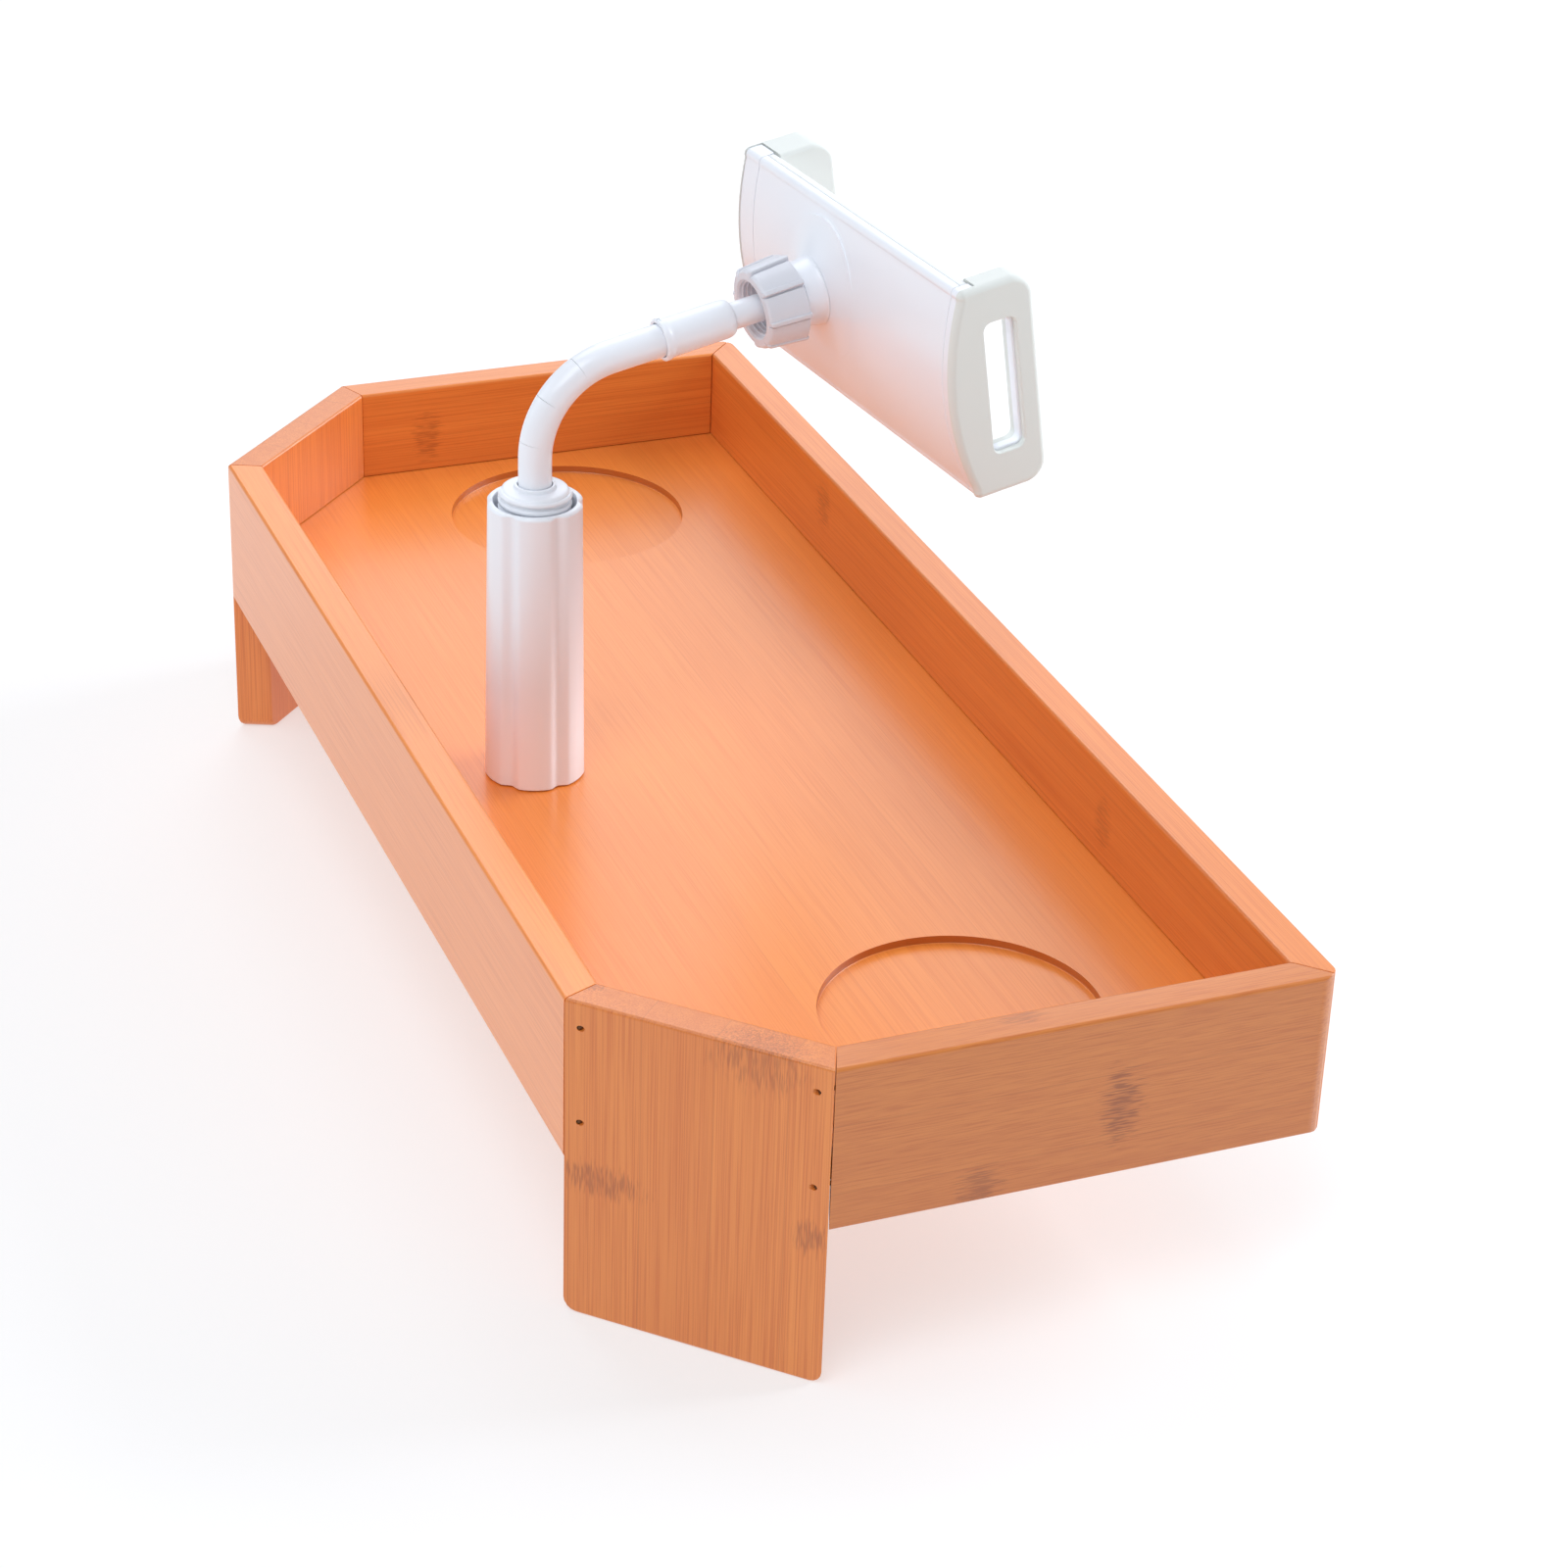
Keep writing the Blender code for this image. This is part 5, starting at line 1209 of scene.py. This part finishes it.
def pad_outline():
    """Outer section of a jaw's rubber boot."""
    proud, tip, radius = 0.0004, COVER_HIGH + 0.0202, 0.0078
    tip_points = rounded_tip(tip, HEIGHT / 2.0 + proud, radius, 12)
    return tip_points + clamp_outline(COVER_HIGH, -proud, CORNER + proud)[2:]


class TRAY_OT_jaws(Operator):
    """Jaws and their rubber boots"""
    bl_idname = "tray.jaws"
    bl_label = "Jaws"

    def execute(self, context):
        wide, past = HEIGHT, 0.001
        foot, tongue, half = COVER_HIGH + 0.0003, COVER_HIGH + 0.0177, 0.0338
        pocket = [(-wide, -wide), (foot, -wide), (foot, -half), (tongue, -half), (tongue, half),
                  (foot, half), (foot, wide), (-wide, wide)]
        clear = [(-wide, -wide), (foot, -wide), (foot, wide), (-wide, wide)]
        screw_hole, head, head_depth, past_face = 0.0014, 0.0025, 0.0016, 0.0001
        for name, body, side in (("fixed_jaw", "clamp", -1.0), ("sliding_jaw", "jaw", 1.0)):
            low, high = local_box(name, CLAMP)
            inner, outer = sorted((abs(low.x), abs(high.x)))
            ends = sorted((side * inner, side * outer))
            core = new_piece(f"{name}_dressed", bar_along_x(jaw_core_outline(), *ends, 0.0002, 0.0002),
                             "gloss_abs_white")
            cut(core, bar_along_x(slot_outline(-SLOT_LIP), ends[0] - past_face, ends[1] + past_face,
                                  -0.0006, -0.0006))
            for index in (1, 2):
                mid = middle_of(f"fixed_jaw_screw_{index}" if side < 0.0 else f"guide_rod_{index}", CLAMP)
                place = along_x(mid.y, mid.z)
                if side < 0.0:
                    bored(core, screw_hole, -outer - past, -inner + past, place)
                    bored(core, head, -outer - past, head_depth - outer, place)
                else:
                    bored(core, ROD_HOLE, inner - past, outer - 0.0003, place)
            dress(core, body, "white_plastic", name, place=CLAMP)

            low, high = local_box(f"{name}_pad", CLAMP)
            grip, skin = sorted((abs(low.x), abs(high.x)))
            ends = sorted((side * grip, side * skin))
            rounds = (0.0024, 0.0016) if side < 0.0 else (0.0016, 0.0024)
            pad = new_piece(f"{name}_pad_dressed", bar_along_x(pad_outline(), *ends, *rounds, steps=7),
                            "moulded_rubber")
            cut(pad, bar_along_x(pocket, *sorted((side * (outer + 0.0001), side * (inner - 0.0003)))))
            cut(pad, bar_along_x(clear, *sorted((side * inner, side * (grip - 0.004)))))
            cut(pad, bar_along_x(slot_outline(0.0), ends[0] - past_face, ends[1] + past_face,
                                 -0.0008, -0.0008))
            dress(pad, body, "pale_rubber", f"{name}_pad", place=CLAMP)
        return {"FINISHED"}


# Stage

CAMERA_AT = (1.10435, -0.41752, 0.70859)
CAMERA_RIGHT = (0.36367588, 0.9309731, 0.03207727)
CAMERA_DOWN = (0.45832358, -0.14884864, -0.8762326)
CAMERA_AHEAD = (-0.81097432, 0.33336643, -0.48081959)
LENS_MM, SENSOR_MM = 88.2, 36.0
LAMPS_AIM = Vector((0.0, 0.0, 0.1))


def lamp(name, at, width, power):
    """A square soft lamp of slightly cool light, turned to the tray."""
    data = bpy.data.lights.new(name, "AREA")
    data.size, data.energy, data.color = width, power, linear("f0f6ff")
    turn = (LAMPS_AIM - Vector(at)).to_track_quat("-Z", "Y")
    linked(name, data).matrix_world = Matrix.Translation(at) @ turn.to_matrix().to_4x4()


class TRAY_OT_stage(Operator):
    """Floor, lamps and camera"""
    bl_idname = "tray.stage"
    bl_label = "Stage"

    def execute(self, context):
        scene, look = context.scene, context.scene.stage_look
        scene.view_settings.view_transform = "Standard"
        mesh = bpy.data.meshes.new("floor")
        reach = 6.0
        corners = [(-reach, -reach, 0.0), (reach, -reach, 0.0), (reach, reach, 0.0), (-reach, reach, 0.0)]
        mesh.from_pydata(corners, [], [(0, 1, 2, 3)])
        made, _, shader = new_material("matt_white_floor", 0.9)
        shader.inputs["Base Color"].default_value = (*look.floor, 1.0)
        shader.inputs["Emission Color"].default_value = (1.0, 1.0, 1.0, 1.0)
        shader.inputs["Emission Strength"].default_value = look.table
        mesh.materials.append(made)
        linked("floor", mesh)

        world = bpy.data.worlds.new("room")
        scene.world = world
        world.use_nodes = True
        sky = world.node_tree.nodes["Background"].inputs
        sky["Color"].default_value = (1.0, 1.0, 1.0, 1.0)
        sky["Strength"].default_value = look.sky

        lamp("front_low", (-0.8, -1.85, 1.03), 1.3, look.key * 0.25)
        lamp("front", (0.89, -0.89, 1.9), 1.3, look.key)
        lamp("back", (0.0, 2.0, 1.03), 1.3, look.back)
        lamp("side", (-1.26, 0.0, 1.9), 1.3, look.side)
        lamp("sheen", (-2.2, 0.9, 1.45), 1.6, look.sheen)

        data = bpy.data.cameras.new("camera")
        data.lens, data.sensor_width, data.sensor_fit = LENS_MM, SENSOR_MM, "HORIZONTAL"
        camera = linked("camera", data)
        camera.matrix_world = placed(Vector(CAMERA_AT), Vector(CAMERA_RIGHT), -Vector(CAMERA_DOWN),
                                     -Vector(CAMERA_AHEAD))
        scene.camera = camera
        return {"FINISHED"}


# Add-on

OPERATORS = (
    TRAY_OT_boards, TRAY_OT_floor, TRAY_OT_brads, TRAY_OT_sleeve, TRAY_OT_collar, TRAY_OT_gooseneck,
    TRAY_OT_coupling, TRAY_OT_ball_joint, TRAY_OT_locking_nut, TRAY_OT_clamp_body, TRAY_OT_jaws,
    TRAY_OT_springs, TRAY_OT_screws, TRAY_OT_stage,
)


class TRAY_PT_pieces(Panel):
    """Lists the tray's pieces in the sidebar"""
    bl_idname = "TRAY_PT_pieces"
    bl_label = "Bathtub tray"
    bl_space_type = "VIEW_3D"
    bl_region_type = "UI"
    bl_category = "Tray"

    def draw(self, context):
        for operator in OPERATORS:
            self.layout.operator(operator.bl_idname)
        for group in ("bamboo_look", "holder_look", "stage_look"):
            column = self.layout.column(align=True)
            settings = getattr(context.scene, group)
            for name in settings.__annotations__:
                column.prop(settings, name)


CLASSES = (BambooLook, HolderLook, StageLook, *OPERATORS, TRAY_PT_pieces)


def register():
    """Registers the classes and their settings."""
    for cls in CLASSES:
        bpy.utils.register_class(cls)
    bpy.types.Scene.bamboo_look = PointerProperty(type=BambooLook)
    bpy.types.Scene.holder_look = PointerProperty(type=HolderLook)
    bpy.types.Scene.stage_look = PointerProperty(type=StageLook)


def unregister():
    """Removes the settings and classes."""
    for name in ("bamboo_look", "holder_look", "stage_look"):
        delattr(bpy.types.Scene, name)
    for cls in reversed(CLASSES):
        bpy.utils.unregister_class(cls)


def main():
    """Registers the add-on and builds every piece."""
    register()
    for operator in OPERATORS:
        group, name = operator.bl_idname.split(".")
        getattr(getattr(bpy.ops, group), name)()


if __name__ == "__main__":
    main()
